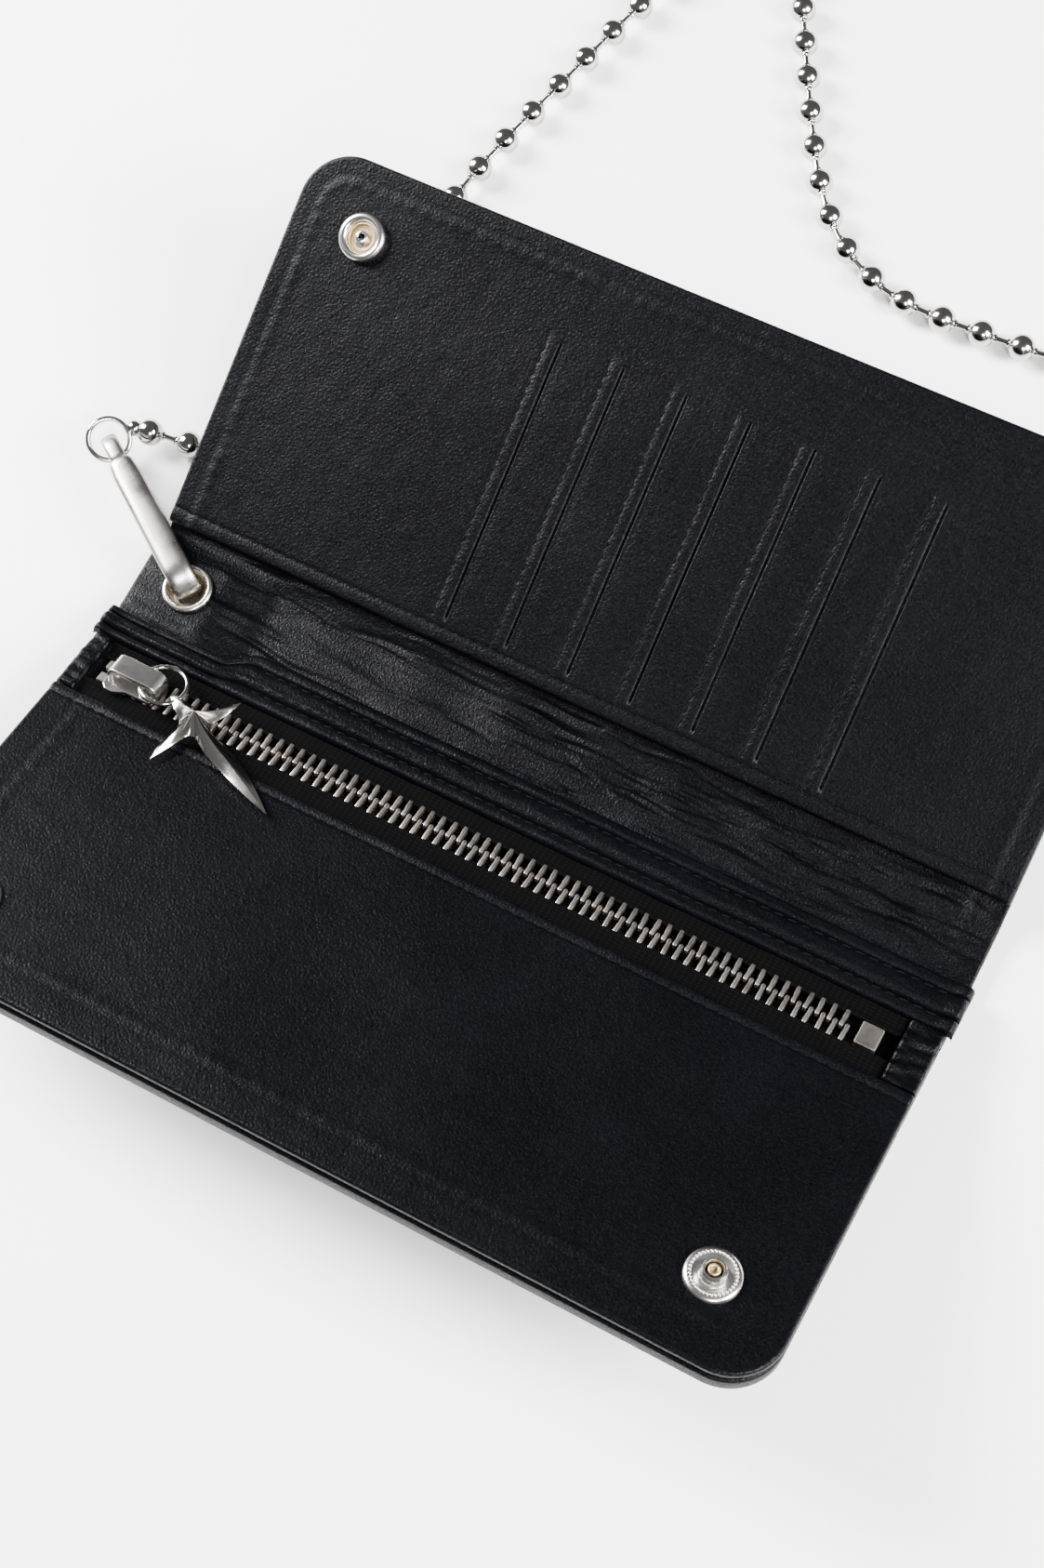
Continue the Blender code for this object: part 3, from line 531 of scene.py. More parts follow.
def leather(name, color, worn, roughness, grain=1150, depth=0.85, creases=0.25, stretch=1.0):
    """Fine-grained leather: pebbles and pores in the bump, with uneven colour and gloss."""
    made, tree, shader, where, node = new_material(name, color, roughness)
    patches = node(
        "ShaderNodeTexNoise", {"Vector": where, "Scale": 42, "Detail": 6, "Roughness": 0.62}
    )
    pebbles = node(
        "ShaderNodeTexVoronoi", {"Vector": where, "Scale": grain}, feature="DISTANCE_TO_EDGE"
    )
    pores = node(
        "ShaderNodeTexNoise",
        {"Vector": where, "Scale": grain * 1.7, "Detail": 3, "Roughness": 0.7},
    )
    drawn = node("ShaderNodeMapping", {"Vector": where, "Scale": (stretch, 1, 1)})
    folds = node(
        "ShaderNodeTexNoise",
        {"Vector": drawn.outputs["Vector"], "Scale": 330, "Detail": 4, "Distortion": 0.6},
    )
    shade = ramp(node, patches.outputs["Fac"], color, worn, 0.42, 0.78)
    tree.links.new(shade, shader.inputs["Base Color"])
    gloss = ramp(node, pores.outputs["Fac"], roughness - 0.09, roughness + 0.13)
    tree.links.new(gloss, shader.inputs["Roughness"])
    fine = node(
        "ShaderNodeBump",
        {"Height": pebbles.outputs["Distance"], "Strength": depth, "Distance": 0.12 * MM},
    )
    small = node(
        "ShaderNodeBump",
        {
            "Height": pores.outputs["Fac"],
            "Strength": depth,
            "Distance": 0.10 * MM,
            "Normal": fine.outputs["Normal"],
        },
    )
    broad = node(
        "ShaderNodeBump",
        {
            "Height": folds.outputs["Fac"],
            "Strength": creases,
            "Distance": 0.30 * MM,
            "Normal": small.outputs["Normal"],
        },
    )
    tree.links.new(broad.outputs["Normal"], shader.inputs["Normal"])
    shader.inputs["Specular IOR Level"].default_value = 0.08
    return made


def metal(name, color, aged, roughness, spread=0.1, scratches=0.25):
    """Plated metal with faint scratches, uneven gloss and darker tarnish in patches."""
    made, tree, shader, where, node = new_material(name, color, roughness, 1.0)
    patches = node(
        "ShaderNodeTexNoise", {"Vector": where, "Scale": 210, "Detail": 7, "Roughness": 0.68}
    )
    stretched = node("ShaderNodeMapping", {"Vector": where, "Scale": (1, 9, 3)})
    marks = node(
        "ShaderNodeTexNoise",
        {"Vector": stretched.outputs["Vector"], "Scale": 620, "Detail": 4, "Roughness": 0.6},
    )
    shade = ramp(node, patches.outputs["Fac"], color, aged, 0.5, 0.82)
    tree.links.new(shade, shader.inputs["Base Color"])
    gloss = ramp(node, patches.outputs["Fac"], roughness, roughness + spread)
    tree.links.new(gloss, shader.inputs["Roughness"])
    bump = node(
        "ShaderNodeBump",
        {"Height": marks.outputs["Fac"], "Strength": scratches, "Distance": 0.03 * MM},
    )
    tree.links.new(bump.outputs["Normal"], shader.inputs["Normal"])
    return made


def fabric(name, color, light, ribs):
    """Woven cloth: crossing ribs in the bump, with painted shade in the weave, so the colour darkens where
    the ribs sink.
    """
    made, tree, shader, where, node = new_material(name, color, 0.85)
    warp = node("ShaderNodeTexWave", {"Vector": where, "Scale": ribs}, bands_direction="X")
    weft = node("ShaderNodeTexWave", {"Vector": where, "Scale": ribs * 1.6}, bands_direction="Y")
    threads = node(
        "ShaderNodeMath",
        {0: warp.outputs["Fac"], 1: weft.outputs["Fac"]},
        operation="MULTIPLY",
    )
    # Painted shade: the weave that raises the ribs also darkens the colour in the hollows between them.
    shade = ramp(node, threads.outputs["Value"], color, light, 0.1, 0.9)
    tree.links.new(shade, shader.inputs["Base Color"])
    bump = node(
        "ShaderNodeBump",
        {"Height": threads.outputs["Value"], "Strength": 0.7, "Distance": 0.12 * MM},
    )
    tree.links.new(bump.outputs["Normal"], shader.inputs["Normal"])
    shader.inputs["Specular IOR Level"].default_value = 0.03
    return made


def thread_finish(name, color):
    """Twisted sewing thread, with painted shade along the twist's grooves."""
    made, tree, shader, where, node = new_material(name, color, 0.75)
    shader.inputs["Specular IOR Level"].default_value = 0.08
    twist = node(
        "ShaderNodeTexWave",
        {"Vector": where, "Scale": 900, "Distortion": 1},
        bands_direction="DIAGONAL",
    )
    # Painted shade: the colour drops to half along the low bands of the twist, the same bands the bump
    # sinks.
    groove_shade = [0.5 * channel for channel in color]
    shade = ramp(node, twist.outputs["Fac"], groove_shade, color, 0.2, 0.8)
    tree.links.new(shade, shader.inputs["Base Color"])
    bump = node(
        "ShaderNodeBump",
        {"Height": twist.outputs["Fac"], "Strength": 0.5, "Distance": 0.05 * MM},
    )
    tree.links.new(bump.outputs["Normal"], shader.inputs["Normal"])
    return made


def paper_white(name):
    """The pale tabletop."""
    made, tree, shader, where, node = new_material(name, (0.95, 0.95, 0.95), 0.5)
    cloud = node("ShaderNodeTexNoise", {"Vector": where, "Scale": 3, "Detail": 3})
    shade = ramp(node, cloud.outputs["Fac"], (0.94, 0.94, 0.94), (0.97, 0.97, 0.97))
    tree.links.new(shade, shader.inputs["Base Color"])
    return made


BLACK = leather("black_leather", (0.0004, 0.0004, 0.0009), (0.0011, 0.0011, 0.0019), 0.37)
SHINY = leather(
    "spine_leather", (0.0004, 0.0004, 0.0008), (0.0011, 0.0011, 0.0018), 0.34, 1300, 0.9, 0.7, 0.3
)
# Stitch thread with painted shade in its twist's grooves.
THREAD = thread_finish("black_thread", (0.0009, 0.0009, 0.0012))
# Zip tape and padding cloth, both carrying painted shade in their weave's hollows.
TAPE = fabric("zip_tape", (0.0003, 0.0003, 0.0004), (0.0012, 0.0012, 0.0014), 260)
FOAM = fabric("padding_cloth", (0.006, 0.006, 0.007), (0.014, 0.014, 0.016), 400)
STEEL = metal("worn_nickel", (0.70, 0.68, 0.65), (0.40, 0.35, 0.30), 0.16)
POLISHED = metal(
    "polished_nickel", (0.62, 0.59, 0.55), (0.44, 0.40, 0.35), 0.09, spread=0.06, scratches=0.1
)
BEADS = metal(
    "chain_nickel", (0.47, 0.46, 0.44), (0.34, 0.31, 0.28), 0.08, spread=0.09, scratches=0.1
)
SATIN = metal(
    "satin_nickel", (0.36, 0.34, 0.32), (0.22, 0.18, 0.15), 0.22, spread=0.16, scratches=0.45
)
BRASS = metal("aged_brass", (0.55, 0.43, 0.24), (0.26, 0.19, 0.11), 0.28, spread=0.2)
TEETH = metal("zip_tooth_metal", (0.48, 0.43, 0.39), (0.24, 0.19, 0.155), 0.24, spread=0.16)
WHITE = paper_white("pale_table")


# ---- Camera, light and floor ----


def make_camera():
    data = bpy.data.cameras.new("camera")
    data.sensor_fit = "VERTICAL"
    data.sensor_height = 36
    data.lens = 57.65
    data.clip_start = 0.01
    right = Vector((0.87828, 0.46651, -0.10481))
    up = Vector((-0.41266, 0.85029, 0.32669))
    back = Vector((0.24152, -0.24367, 0.93930))
    made = bpy.data.objects.new("camera", data)
    facing = Matrix((right, up, back)).transposed().to_4x4()
    made.matrix_world = Matrix.Translation((0.12058, -0.12798, 0.47890)) @ facing
    bpy.context.scene.collection.objects.link(made)
    bpy.context.scene.camera = made


def area_light(name, location, target, size, power, color=(1, 1, 1)):
    data = bpy.data.lights.new(name, "AREA")
    data.shape = "RECTANGLE"
    data.size, data.size_y = size
    data.energy = power
    data.color = color
    made = bpy.data.objects.new(name, data)
    made.location = location
    made.rotation_euler = (Vector(target) - Vector(location)).to_track_quat("-Z", "Y").to_euler()
    bpy.context.scene.collection.objects.link(made)


def make_studio():
    world = bpy.data.worlds.new("studio")
    world.use_nodes = True
    world.node_tree.nodes["Background"].inputs["Color"].default_value = (0.95, 0.97, 1.0, 1)
    world.node_tree.nodes["Background"].inputs["Strength"].default_value = 0.17
    bpy.context.scene.world = world
    area_light("left_window", (-0.95, 0.15, 0.62), (0, 0, 0), (0.45, 0.7), 84)
    area_light("right_fill", (0.95, 0.1, 0.7), (0, 0, 0), (0.5, 0.6), 60)
    area_light("front_light", (0.6, -0.55, 1.0), (0, 0.02, 0), (0.35, 0.35), 22)
    side = 6.0
    corners = [(-side, -side, 0), (side, -side, 0), (side, side, 0), (-side, side, 0)]
    floor = add_mesh("table_top", [(x, y, -0.0002) for x, y, _ in corners], [(0, 1, 2, 3)], WHITE)


# ---- Chain ----


def chain_path():
    """Points on a smooth curve through the route's points, and the distance along it to each."""
    points = [Vector(point) for point in CHAIN_ROUTE]
    ends = [2 * points[0] - points[1], *points, 2 * points[-1] - points[-2]]
    fine = []
    for before, start, end, after in zip(ends, ends[1:], ends[2:], ends[3:]):
        for t in np.arange(0, 1, 1 / 12):
            fine.append(
                0.5
                * (
                    2 * start
                    + (end - before) * t
                    + (2 * before - 5 * start + 4 * end - after) * t * t
                    + (3 * start - before - 3 * end + after) * t * t * t
                )
            )
    fine = np.array([*fine, points[-1]])
    travelled = np.concatenate([[0], np.cumsum(np.linalg.norm(np.diff(fine, axis=0), axis=1))])
    return fine, travelled


def make_chain():
    """Ball chain as one strand: round beads joined by short rods, with a collar where each enters."""
    fine, travelled = chain_path()
    length = travelled[-1]
    first = 0.9 * MM
    count = int((length - first - BEAD / 2) / BEAD_PITCH) + 1
    ball = BEAD / 2
    neck = 1.0 * MM
    rod = 0.62 * MM
    turn = np.radians(np.linspace(20, 160, 15))
    stations, radii = [], []
    for index in range(count):
        middle = first + index * BEAD_PITCH
        profile = [(-ball - 0.35 * MM, rod), (-ball - 0.32 * MM, neck), (-ball + 0.05 * MM, neck)]
        profile += [(-ball * math.cos(a), ball * math.sin(a)) for a in turn]
        profile += [(ball - 0.05 * MM, neck), (ball + 0.32 * MM, neck), (ball + 0.35 * MM, rod)]
        stations += [middle + offset for offset, _ in profile]
        radii += [radius for _, radius in profile]
    stations = np.array(stations)
    path = np.stack([np.interp(stations, travelled, fine[:, i]) for i in range(3)], axis=1)
    lead = (fine[0] - fine[1]) / np.linalg.norm(fine[0] - fine[1])
    tail = (fine[-1] - fine[-2]) / np.linalg.norm(fine[-1] - fine[-2])
    path += np.maximum(-stations, 0)[:, None] * lead
    path += np.maximum(stations - length, 0)[:, None] * tail
    path[:, 2] += ball - 2.75 * MM
    strand = tube("bead_chain", path, radii, BEADS, sides=24)
    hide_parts("ball_chain")
    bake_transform(strand)


# ---- Card side ----


def facing_height(x, u):
    """The card side's surface: slits with their welts, the ridge inside the edge, and soft waves."""
    edge = edge_distance(x, u)
    height = FACING[1] - rounded(edge, 0.7 * MM) - rounded(u - FACING_START, 0.8 * MM)
    height = height + 0.14 * MM * ripple(x, u, 42 * MM, 3) * smooth(edge / (7 * MM))
    height = height + 0.02 * MM * ripple(x, u, 9 * MM, 4) * smooth(edge / (4 * MM))
    pucker = 1 + 0.45 * np.sin(along_edge(x, u) * math.tau / (3.3 * MM))
    pucker = pucker + 0.5 * ripple(x, u, 12 * MM, 5)
    height = height + 0.10 * MM * ridge(edge - CARD_BORDER, 1.7 * MM) * pucker
    height = height - 0.08 * MM * ridge(edge - CARD_BORDER + 1.6 * MM, 1.0 * MM)
    height = height + 0.14 * MM * ridge(u - FACING_START - 1.6 * MM, 2.2 * MM)
    height = height - 0.14 * MM * ridge(u - FACING_START - 3.3 * MM, 0.5 * MM)
    reach = smooth((u - SLIT_INNER + 0.6 * MM) / (1.0 * MM))
    reach = reach * smooth((SLIT_OUTER + 0.6 * MM - u) / (1.0 * MM))
    wide = smooth((u - SLIT_INNER + 3 * MM) / (4 * MM))
    wide = wide * smooth((SLIT_OUTER + 3 * MM - u) / (4 * MM))
    for index in range(SLITS):
        beside = x - SLIT_FIRST - index * SLIT_PITCH
        welt = ridge(beside + 1.5 * MM, 2.1 * MM) * (1 + 0.25 * ripple(x, u, 8 * MM, 20 + index))
        height = height + 0.13 * MM * welt * wide
        height = height - 0.80 * MM * ridge(beside, 0.36 * MM) * reach
        height = height - 0.07 * MM * ridge(beside - 0.9 * MM, 1.0 * MM) * wide
        puckers = np.sin(u * math.tau / (2.8 * MM) + index)
        groove = ridge(beside - SEAM_BESIDE_SLIT, 0.6 * MM)
        height = height - (0.09 + 0.05 * puckers) * MM * groove * wide
    return height


def make_card_facing():
    """The card side's pocket front, folded over at its inner edge and grooved by the slits."""
    extra = []
    for index in range(SLITS):
        middle = SLIT_FIRST + index * SLIT_PITCH
        offsets = (-3.6, -3.35, -3.1, -2.85, -2.5, -2.0, -1.5, -1.0, -0.6, -0.4, -0.25, -0.1)
        offsets += (0.1, 0.25, 0.4, 0.6, 0.9, 1.3)
        extra += [middle + offset * MM for offset in offsets]
    rows = [SLIT_INNER + offset * MM for offset in (-0.6, 0, 0.4)]
    rows += [SLIT_OUTER + offset * MM for offset in (-0.4, 0, 0.6)]
    rows += [FACING_START + offset * MM for offset in (3.1, 3.3, 3.5)]
    x, u = panel_grid(FACING_START, 0.75 * MM, extra, rows)
    height = facing_height(x, u)
    low = FACING[0] + 0.0 * x
    facing = shell("card_facing_leather", CARD.at(x, u, height), CARD.at(x, u, low), BLACK)
    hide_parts("card_facing")
    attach(facing, CARD.body)
    rows = []
    for index in range(SLITS):
        line = SLIT_FIRST + index * SLIT_PITCH + SEAM_BESIDE_SLIT
        rows.append([(line, SLIT_INNER), (line, SLIT_OUTER)])
    hem = FACING_START + 3.3 * MM
    rows.append([(3 * MM - HALF_LENGTH, hem), (HALF_LENGTH - 3 * MM, hem)])
    seams = sew("card_side_stitches", CARD, facing_height, rows, THREAD)
    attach(seams, CARD.body)


# ---- Coin side ----


def front_height(x, u):
    """The coin pocket's front, with its rolled upper edge and the ridge inside the outer edge."""
    edge = edge_distance(x, u)
    height = FRONT[1] - rounded(edge, 0.7 * MM) - rounded(u - WINDOW_OUTER, 0.8 * MM)
    height = height + 0.22 * MM * ripple(x, u, 60 * MM, 8) * smooth(edge / (9 * MM))
    height = height + 0.02 * MM * ripple(x, u, 11 * MM, 9) * smooth(edge / (4 * MM))
    pucker = 1 + 0.45 * np.sin(along_edge(x, u) * math.tau / (3.6 * MM))
    pucker = pucker + 0.5 * ripple(x, u, 14 * MM, 10)
    height = height + 0.09 * MM * ridge(edge - COIN_BORDER, 1.8 * MM) * pucker
    height = height - 0.08 * MM * ridge(edge - COIN_BORDER + 1.7 * MM, 1.1 * MM)
    roll = ridge(u - WINDOW_OUTER - 1.2 * MM, 1.7 * MM)
    height = height + 0.20 * MM * roll * (1 + 0.4 * ripple(x, u, 16 * MM, 11))
    height = height - 0.2 * MM * ridge(u - WINDOW_OUTER - 2.5 * MM, 0.6 * MM)
    return height


def make_coin_front():
    """The coin pocket's front leather below the zip."""
    rows = [WINDOW_OUTER + offset * MM for offset in (2.2, 2.5, 2.8, 3.2)]
    x, u = panel_grid(WINDOW_OUTER, 0.85 * MM, (), rows)
    top = COIN.at(x, u, front_height(x, u))
    low = COIN.at(x, u, FRONT[0] + 0.0 * x)
    front = shell("coin_front_leather", top, low, BLACK)
    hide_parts("coin_front")
    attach(front, COIN.body)
    seam = WINDOW_OUTER + 2.5 * MM
    rows = [[(4 * MM - HALF_LENGTH, seam), (HALF_LENGTH - 4 * MM, seam)]]
    seams = sew("coin_side_stitches", COIN, front_height, rows, THREAD)
    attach(seams, COIN.body)


def band_height(x, u):
    """The three flat folds above the zip, seen from the spine outwards."""
    fold = 0.0
    for middle, wide, high in ((-1.7, 3.1, 1.15), (2.5, 5.3, 1.5), (7.0, 3.4, 1.2)):
        lying = np.clip(1 - np.abs((u / MM - middle) / (0.5 * wide)) ** 3, 0, 1)
        fold = np.maximum(fold, high * MM * np.sqrt(lying))
    swell = 1 + 0.08 * ripple(x, u, 26 * MM, 13) + 0.05 * ripple(x, 3 * u, 9 * MM, 14)
    knob = 0.7 * MM * ridge(HALF_LENGTH - np.abs(x), 3 * MM)
    return FRONT[0] + 0.15 * MM + fold * swell + knob * smooth(fold / (1.0 * MM))


def make_top_band():
    """The rolled band between the spine and the zip. Its left part stays clear of the raised spine."""
    half = HALF_LENGTH + 1.2 * MM
    columns = lines(-half, half, 1.1 * MM, near_ends(-half, half))
    rows = np.linspace(-3.2 * MM, WINDOW_INNER, 60)
    x, u = np.meshgrid(columns, rows)
    step = 1 - smooth((x + 70 * MM) / (7 * MM))
    height = band_height(x, u)
    u = u + step * 4.6 * MM * (WINDOW_INNER - u) / (WINDOW_INNER + 3.2 * MM)
    end = rounded(half - np.abs(x), 1.2 * MM)
    top = COIN.at(x, u, height - end)
    low = FRONT[0] - 0.9 * MM * smooth((2 * MM - u) / (4 * MM)) * (1 - step)
    band = shell("coin_top_band_leather", top, COIN.at(x, u, low), BLACK)
    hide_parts("coin_top_band")
    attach(band, COIN.body)
    rows = []
    for line in (0.7 * MM, 4.3 * MM, 6.2 * MM):
        rows.append([(-60 * MM, line), (HALF_LENGTH - 2 * MM, line)])
    seams = sew("top_band_stitches", COIN, band_height, rows, THREAD, pitch=2.9 * MM)
    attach(seams, COIN.body)


def make_zip_ends():
    """The leather patches that close the zip window at both ends."""
    for side, first, last in (("left", -HALF_LENGTH, -91.8 * MM), ("right", 88.8 * MM, HALF_LENGTH)):
        columns = lines(first, last, 0.5 * MM, near_ends(first, last))
        rows = lines(WINDOW_INNER + 0.3 * MM, WINDOW_OUTER - 0.3 * MM, 0.5 * MM)
        x, u = np.meshgrid(columns, rows)
        edge = np.minimum(x - first, last - x)
        corner = np.minimum(u - rows[0], rows[-1] - u)
        height = FRONT[1] - rounded(edge, 0.8 * MM) - 0.5 * rounded(corner, 0.8 * MM)
        height = height + 0.35 * MM * ripple(x, 3 * u, 9 * MM, 15)
        low = COIN.at(x, u, FRONT[0] + 0.0 * x)
        patch = shell(f"zip_end_{side}_leather", COIN.at(x, u, height), low, SHINY)
        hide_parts(f"zip_end_{side}")
        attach(patch, COIN.body)


# ---- Outer cover and spine ----


def quilting(x, v):
    """How far the quilted outside is drawn in: pairs of seams cross both diagonals."""
    drawn = 0.0
    swell = 0.0
    for sign in (1, -1):
        across = (x + sign * v) / math.sqrt(2)
        for shift in (0.0, 9 * MM):
            period = 29 * MM
            distance = np.abs((across - shift + period / 2) % period - period / 2)
            drawn = np.maximum(drawn, ridge(distance, 1.1 * MM))
            swell = np.maximum(swell, ridge(distance, 5 * MM))
    return 0.42 * MM * drawn + 0.34 * MM * swell


def make_cover(panel, name, nodes):
    """Half of the quilted outer cover, from the spine's middle line to the panel's outer edge."""
    step = 0.8 * MM
    x, u = panel_grid(-HALF_SPINE, step)
    v = u + HALF_SPINE
    x, v, gone = open_hole(x, v, (EYELET.x, panel.side * EYELET.y), EYELET_HOLE)
    edge = edge_distance(x, np.maximum(u, 0))
    outside = quilting(x, v) * smooth(edge / (3 * MM)) + rounded(edge, 0.9 * MM)
    rim = smooth((1.5 * MM - edge) / (0.5 * MM)) * smooth((u - 9 * MM) / (3 * MM))
    inside = LEATHER + (RIM_TOP - LEATHER) * rim - rounded(edge, 0.7 * MM)
    cover = shell(name, panel.bent(x, v, inside), panel.bent(x, v, outside), BLACK, gone)
    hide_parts(*nodes)
    return cover


def spine_wrinkles(x, v, side):
    """Long creases along the spine, strongest at its left end and in its middle."""
    rng = np.random.RandomState(31 if side > 0 else 32)
    total = 0.0
    for _ in range(70):
        middle = rng.uniform(-1, 15) * MM
        start = rng.uniform(-110, 75) * MM
        length = rng.uniform(12, 60) * MM
        drift = rng.uniform(-2.5, 2.5) * MM
        width = rng.uniform(0.5, 1.5) * MM
        high = rng.uniform(0.10, 0.34) * MM * rng.choice([-1, 1])
        share = (x - start) / length
        path = middle + drift * share + 0.5 * MM * np.sin(x * math.tau / (23 * MM) + 9 * middle / MM)
        fade = smooth(share / 0.25) * smooth((1 - share) / 0.25)
        total = total + high * ridge(v - path, width) * fade
    return total * smooth(v / (1.5 * MM))


def make_lining(panel, name, nodes, reach):
    """Half of the creased lining over the spine, which runs on under the next layer."""
    columns = lines(-HALF_LENGTH, HALF_LENGTH, 0.9 * MM, near_ends(-HALF_LENGTH, HALF_LENGTH))
    rows = lines(0.0, reach, 0.35 * MM)
    x, v = np.meshgrid(columns, rows)
    x, v, gone = open_hole(x, v, (EYELET.x, panel.side * EYELET.y), EYELET_HOLE)
    edge = HALF_LENGTH - np.abs(x)
    fill = 0.25 * MM * ripple(x, 2 * v, 30 * MM, 33)
    creases = spine_wrinkles(x, v, panel.side)
    groove = 0.22 * MM * ridge(x - HALF_LENGTH + 6.6 * MM, 0.9 * MM)
    inside = smooth(edge / (2 * MM))
    height = LINING[1] + (fill * smooth(v / (3 * MM)) + creases - groove) * inside - rounded(edge, 0.5 * MM)
    under = smooth((v - reach + 5 * MM) / (4 * MM))
    height = height + (LINING[1] - height) * under
    low = height - 0.5 * MM
    sheet = shell(name, panel.bent(x, v, height), panel.bent(x, v, low), SHINY, gone)
    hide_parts(*nodes)
    return sheet


def make_covers_and_linings():
    card_cover = make_cover(CARD, "card_side_cover", ["card_cover", "spine_cover"])
    coin_cover = make_cover(COIN, "coin_side_cover", ["coin_cover"])
    card_lining = make_lining(CARD, "card_side_lining", ["spine_lining"], 24 * MM)
    coin_lining = make_lining(COIN, "coin_side_lining", [], 19 * MM)
    for panel, pieces in ((CARD, (card_cover, card_lining)), (COIN, (coin_cover, coin_lining))):
        for piece in pieces:
            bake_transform(piece)


# ---- Zip ----


def tooth_outline(side):
    """One tooth in plan: a wide foot clamped on the tape's cord, a neck and a rounded head."""
    root, shoulder, neck, tip = 3.5 * MM, 1.9 * MM, 0.9 * MM, -0.55 * MM
    half = ((root, 0.42), (shoulder, 0.45), (neck, 0.36), (0.1 * MM, 0.46))
    half += ((tip + 0.3 * MM, 0.42), (tip, 0.25))
    right = [(wide * MM, side * out) for out, wide in half]
    left = [(-wide * MM, side * out) for out, wide in reversed(half)]
    return right + left


def repeat_mesh(name, template, places, finish):
    """One mesh made of copies of a template object's evaluated mesh at each place."""
    graph = bpy.context.evaluated_depsgraph_get()
    data = template.evaluated_get(graph).to_mesh()
    points = np.array([vertex.co for vertex in data.vertices])
    loops = [tuple(face.vertices) for face in data.polygons]
    verts, faces = [], []
    for index, place in enumerate(places):
        matrix = np.array(place)
        verts.append(points @ matrix[:3, :3].T + matrix[:3, 3])
        faces += [tuple(vertex + index * len(points) for vertex in loop) for loop in loops]
    bpy.data.objects.remove(template)
    return add_mesh(name, np.concatenate(verts), faces, finish, 35)


def make_teeth():
    """Both rows of teeth, half a pitch apart, each tooth a little out of line."""
    count = int((TEETH_TO - TEETH_FROM) / ZIP_PITCH)
    low, high, bevel = -0.8 * MM, 0.75 * MM, 0.22 * MM
    for row, side, shift in (("upper", -1, 0.0), ("lower", 1, 0.5)):
        outline = tooth_outline(side)
        still = Matrix.Identity(4)
        template = prism(f"{row}_tooth", outline, low, high, TEETH, still, bevel, 2)
        bpy.context.view_layer.update()
        places = []
        for index in range(count):
            x = TEETH_FROM + (index + shift) * ZIP_PITCH + 0.5 * MM
            lean = math.radians(2.5 * math.sin(index * 2.4 + shift))
            place = COIN.matrix(x, ZIP_LINE, TAPE_LEVEL, lean)
            places.append(place @ Matrix.Diagonal((1, -1, 1, 1)))
        made = repeat_mesh(f"zip_teeth_{row}_row", template, places, TEETH)
        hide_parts(f"zip_teeth_{row}")
        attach(made, COIN.body)


def make_tapes():
    """The zip's two woven tapes, each with a cord along its inner edge and a slight wave."""
    spans = (("upper", ZIP_LINE - 3.0 * MM, 5.6 * MM), ("lower", ZIP_LINE + 3.0 * MM, 28.2 * MM))
    for name, near, far in spans:
        columns = lines(-91.4 * MM, 88.4 * MM, 1.0 * MM)
        share = np.linspace(0, 1, 26)
        x, t = np.meshgrid(columns, share)
        u = near + (far - near) * t
        cord = 0.45 * MM * ridge(np.abs(u - near) - 0.5 * MM, 0.9 * MM)
        wave = 0.14 * MM * ripple(x, u, 13 * MM, 17) * smooth(t / 0.3) * smooth((1 - t) / 0.3)
        top = COIN.at(x, u, TAPE_LEVEL + 0.15 * MM + cord + wave)
        low = COIN.at(x, u, TAPE_LEVEL - 0.15 * MM - cord + wave)
        tape = shell(f"zip_tape_{name}_cloth", top, low, TAPE)
        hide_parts(f"zip_tape_{name}")
        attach(tape, COIN.body)


def make_slider():
    """The zip's slider: bevelled plates with folded wings, and the arched bridge for the pull."""
    place = COIN.matrix(SLIDER_X, ZIP_LINE, 0.0)
    end, wide, narrow = 5.8 * MM, 4.8 * MM, 3.6 * MM
    half = [(end, narrow - 0.6 * MM), (end - 0.6 * MM, narrow), (-0.5 * MM, narrow)]
    half += [(-3.0 * MM, wide), (-end + 1.0 * MM, wide), (-end, wide - 1.0 * MM)]
    outline = half + [(x, -y) for x, y in reversed(half)]
    top = prism("slider_top", outline, 5.95 * MM, 6.95 * MM, STEEL, place, 0.3 * MM)
    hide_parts("slider_top_plate")
    low = prism("slider_base", outline, 3.4 * MM, 4.0 * MM, STEEL, place, 0.2 * MM)
    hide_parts("slider_bottom_plate")
    back, front, foot, roof, steel = -5.4 * MM, 6.2 * MM, 6.9 * MM, 10.5 * MM, 1.2 * MM
    bend, cut, half_width = 1.8 * MM, 0.9 * MM, 2.4 * MM
    path = [(back, foot), (back, roof - bend)]
    path += arc(bend, 180, 90, (back + bend, roof - bend), 5)
    path += [*arc(bend, 90, 0, (front - bend, roof - bend), 5), (front, foot)]
    inner = [(back + steel, foot), (back + steel, roof - steel - cut)]
    inner += [(back + steel + cut, roof - steel), (front - steel - cut, roof - steel)]
    inner += [(front - steel, roof - steel - cut), (front - steel, foot)]
    outline = path + inner[::-1]
    upright = place @ Matrix.Rotation(math.pi / 2, 4, "X")
    bridge = prism("slider_bridge", outline, -half_width, half_width, STEEL, upright, 0.4 * MM)
    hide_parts("slider_crown")
    knob = turned(
        "slider_knob",
        [(0, 0), (1.3 * MM, 0), (1.3 * MM, 0.5 * MM), *arc(1.2 * MM, 20, 90, (0, 0.35 * MM), 5)],
        STEEL,
        place @ Matrix.Translation((-end + 1.2 * MM, 0, 6.9 * MM)),
        24,
    )
    for piece in (top, low, bridge, knob):
        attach(piece, "slider")
    pull_place = COIN.matrix(SLIDER_X + PULL_AHEAD, ZIP_LINE - PULL_SIDE, PULL_LEVEL)
    wire_ring("pull_ring_wire", "pull_ring", pull_place, PULL_OUTSIDE, PULL_WIRE, "pull")


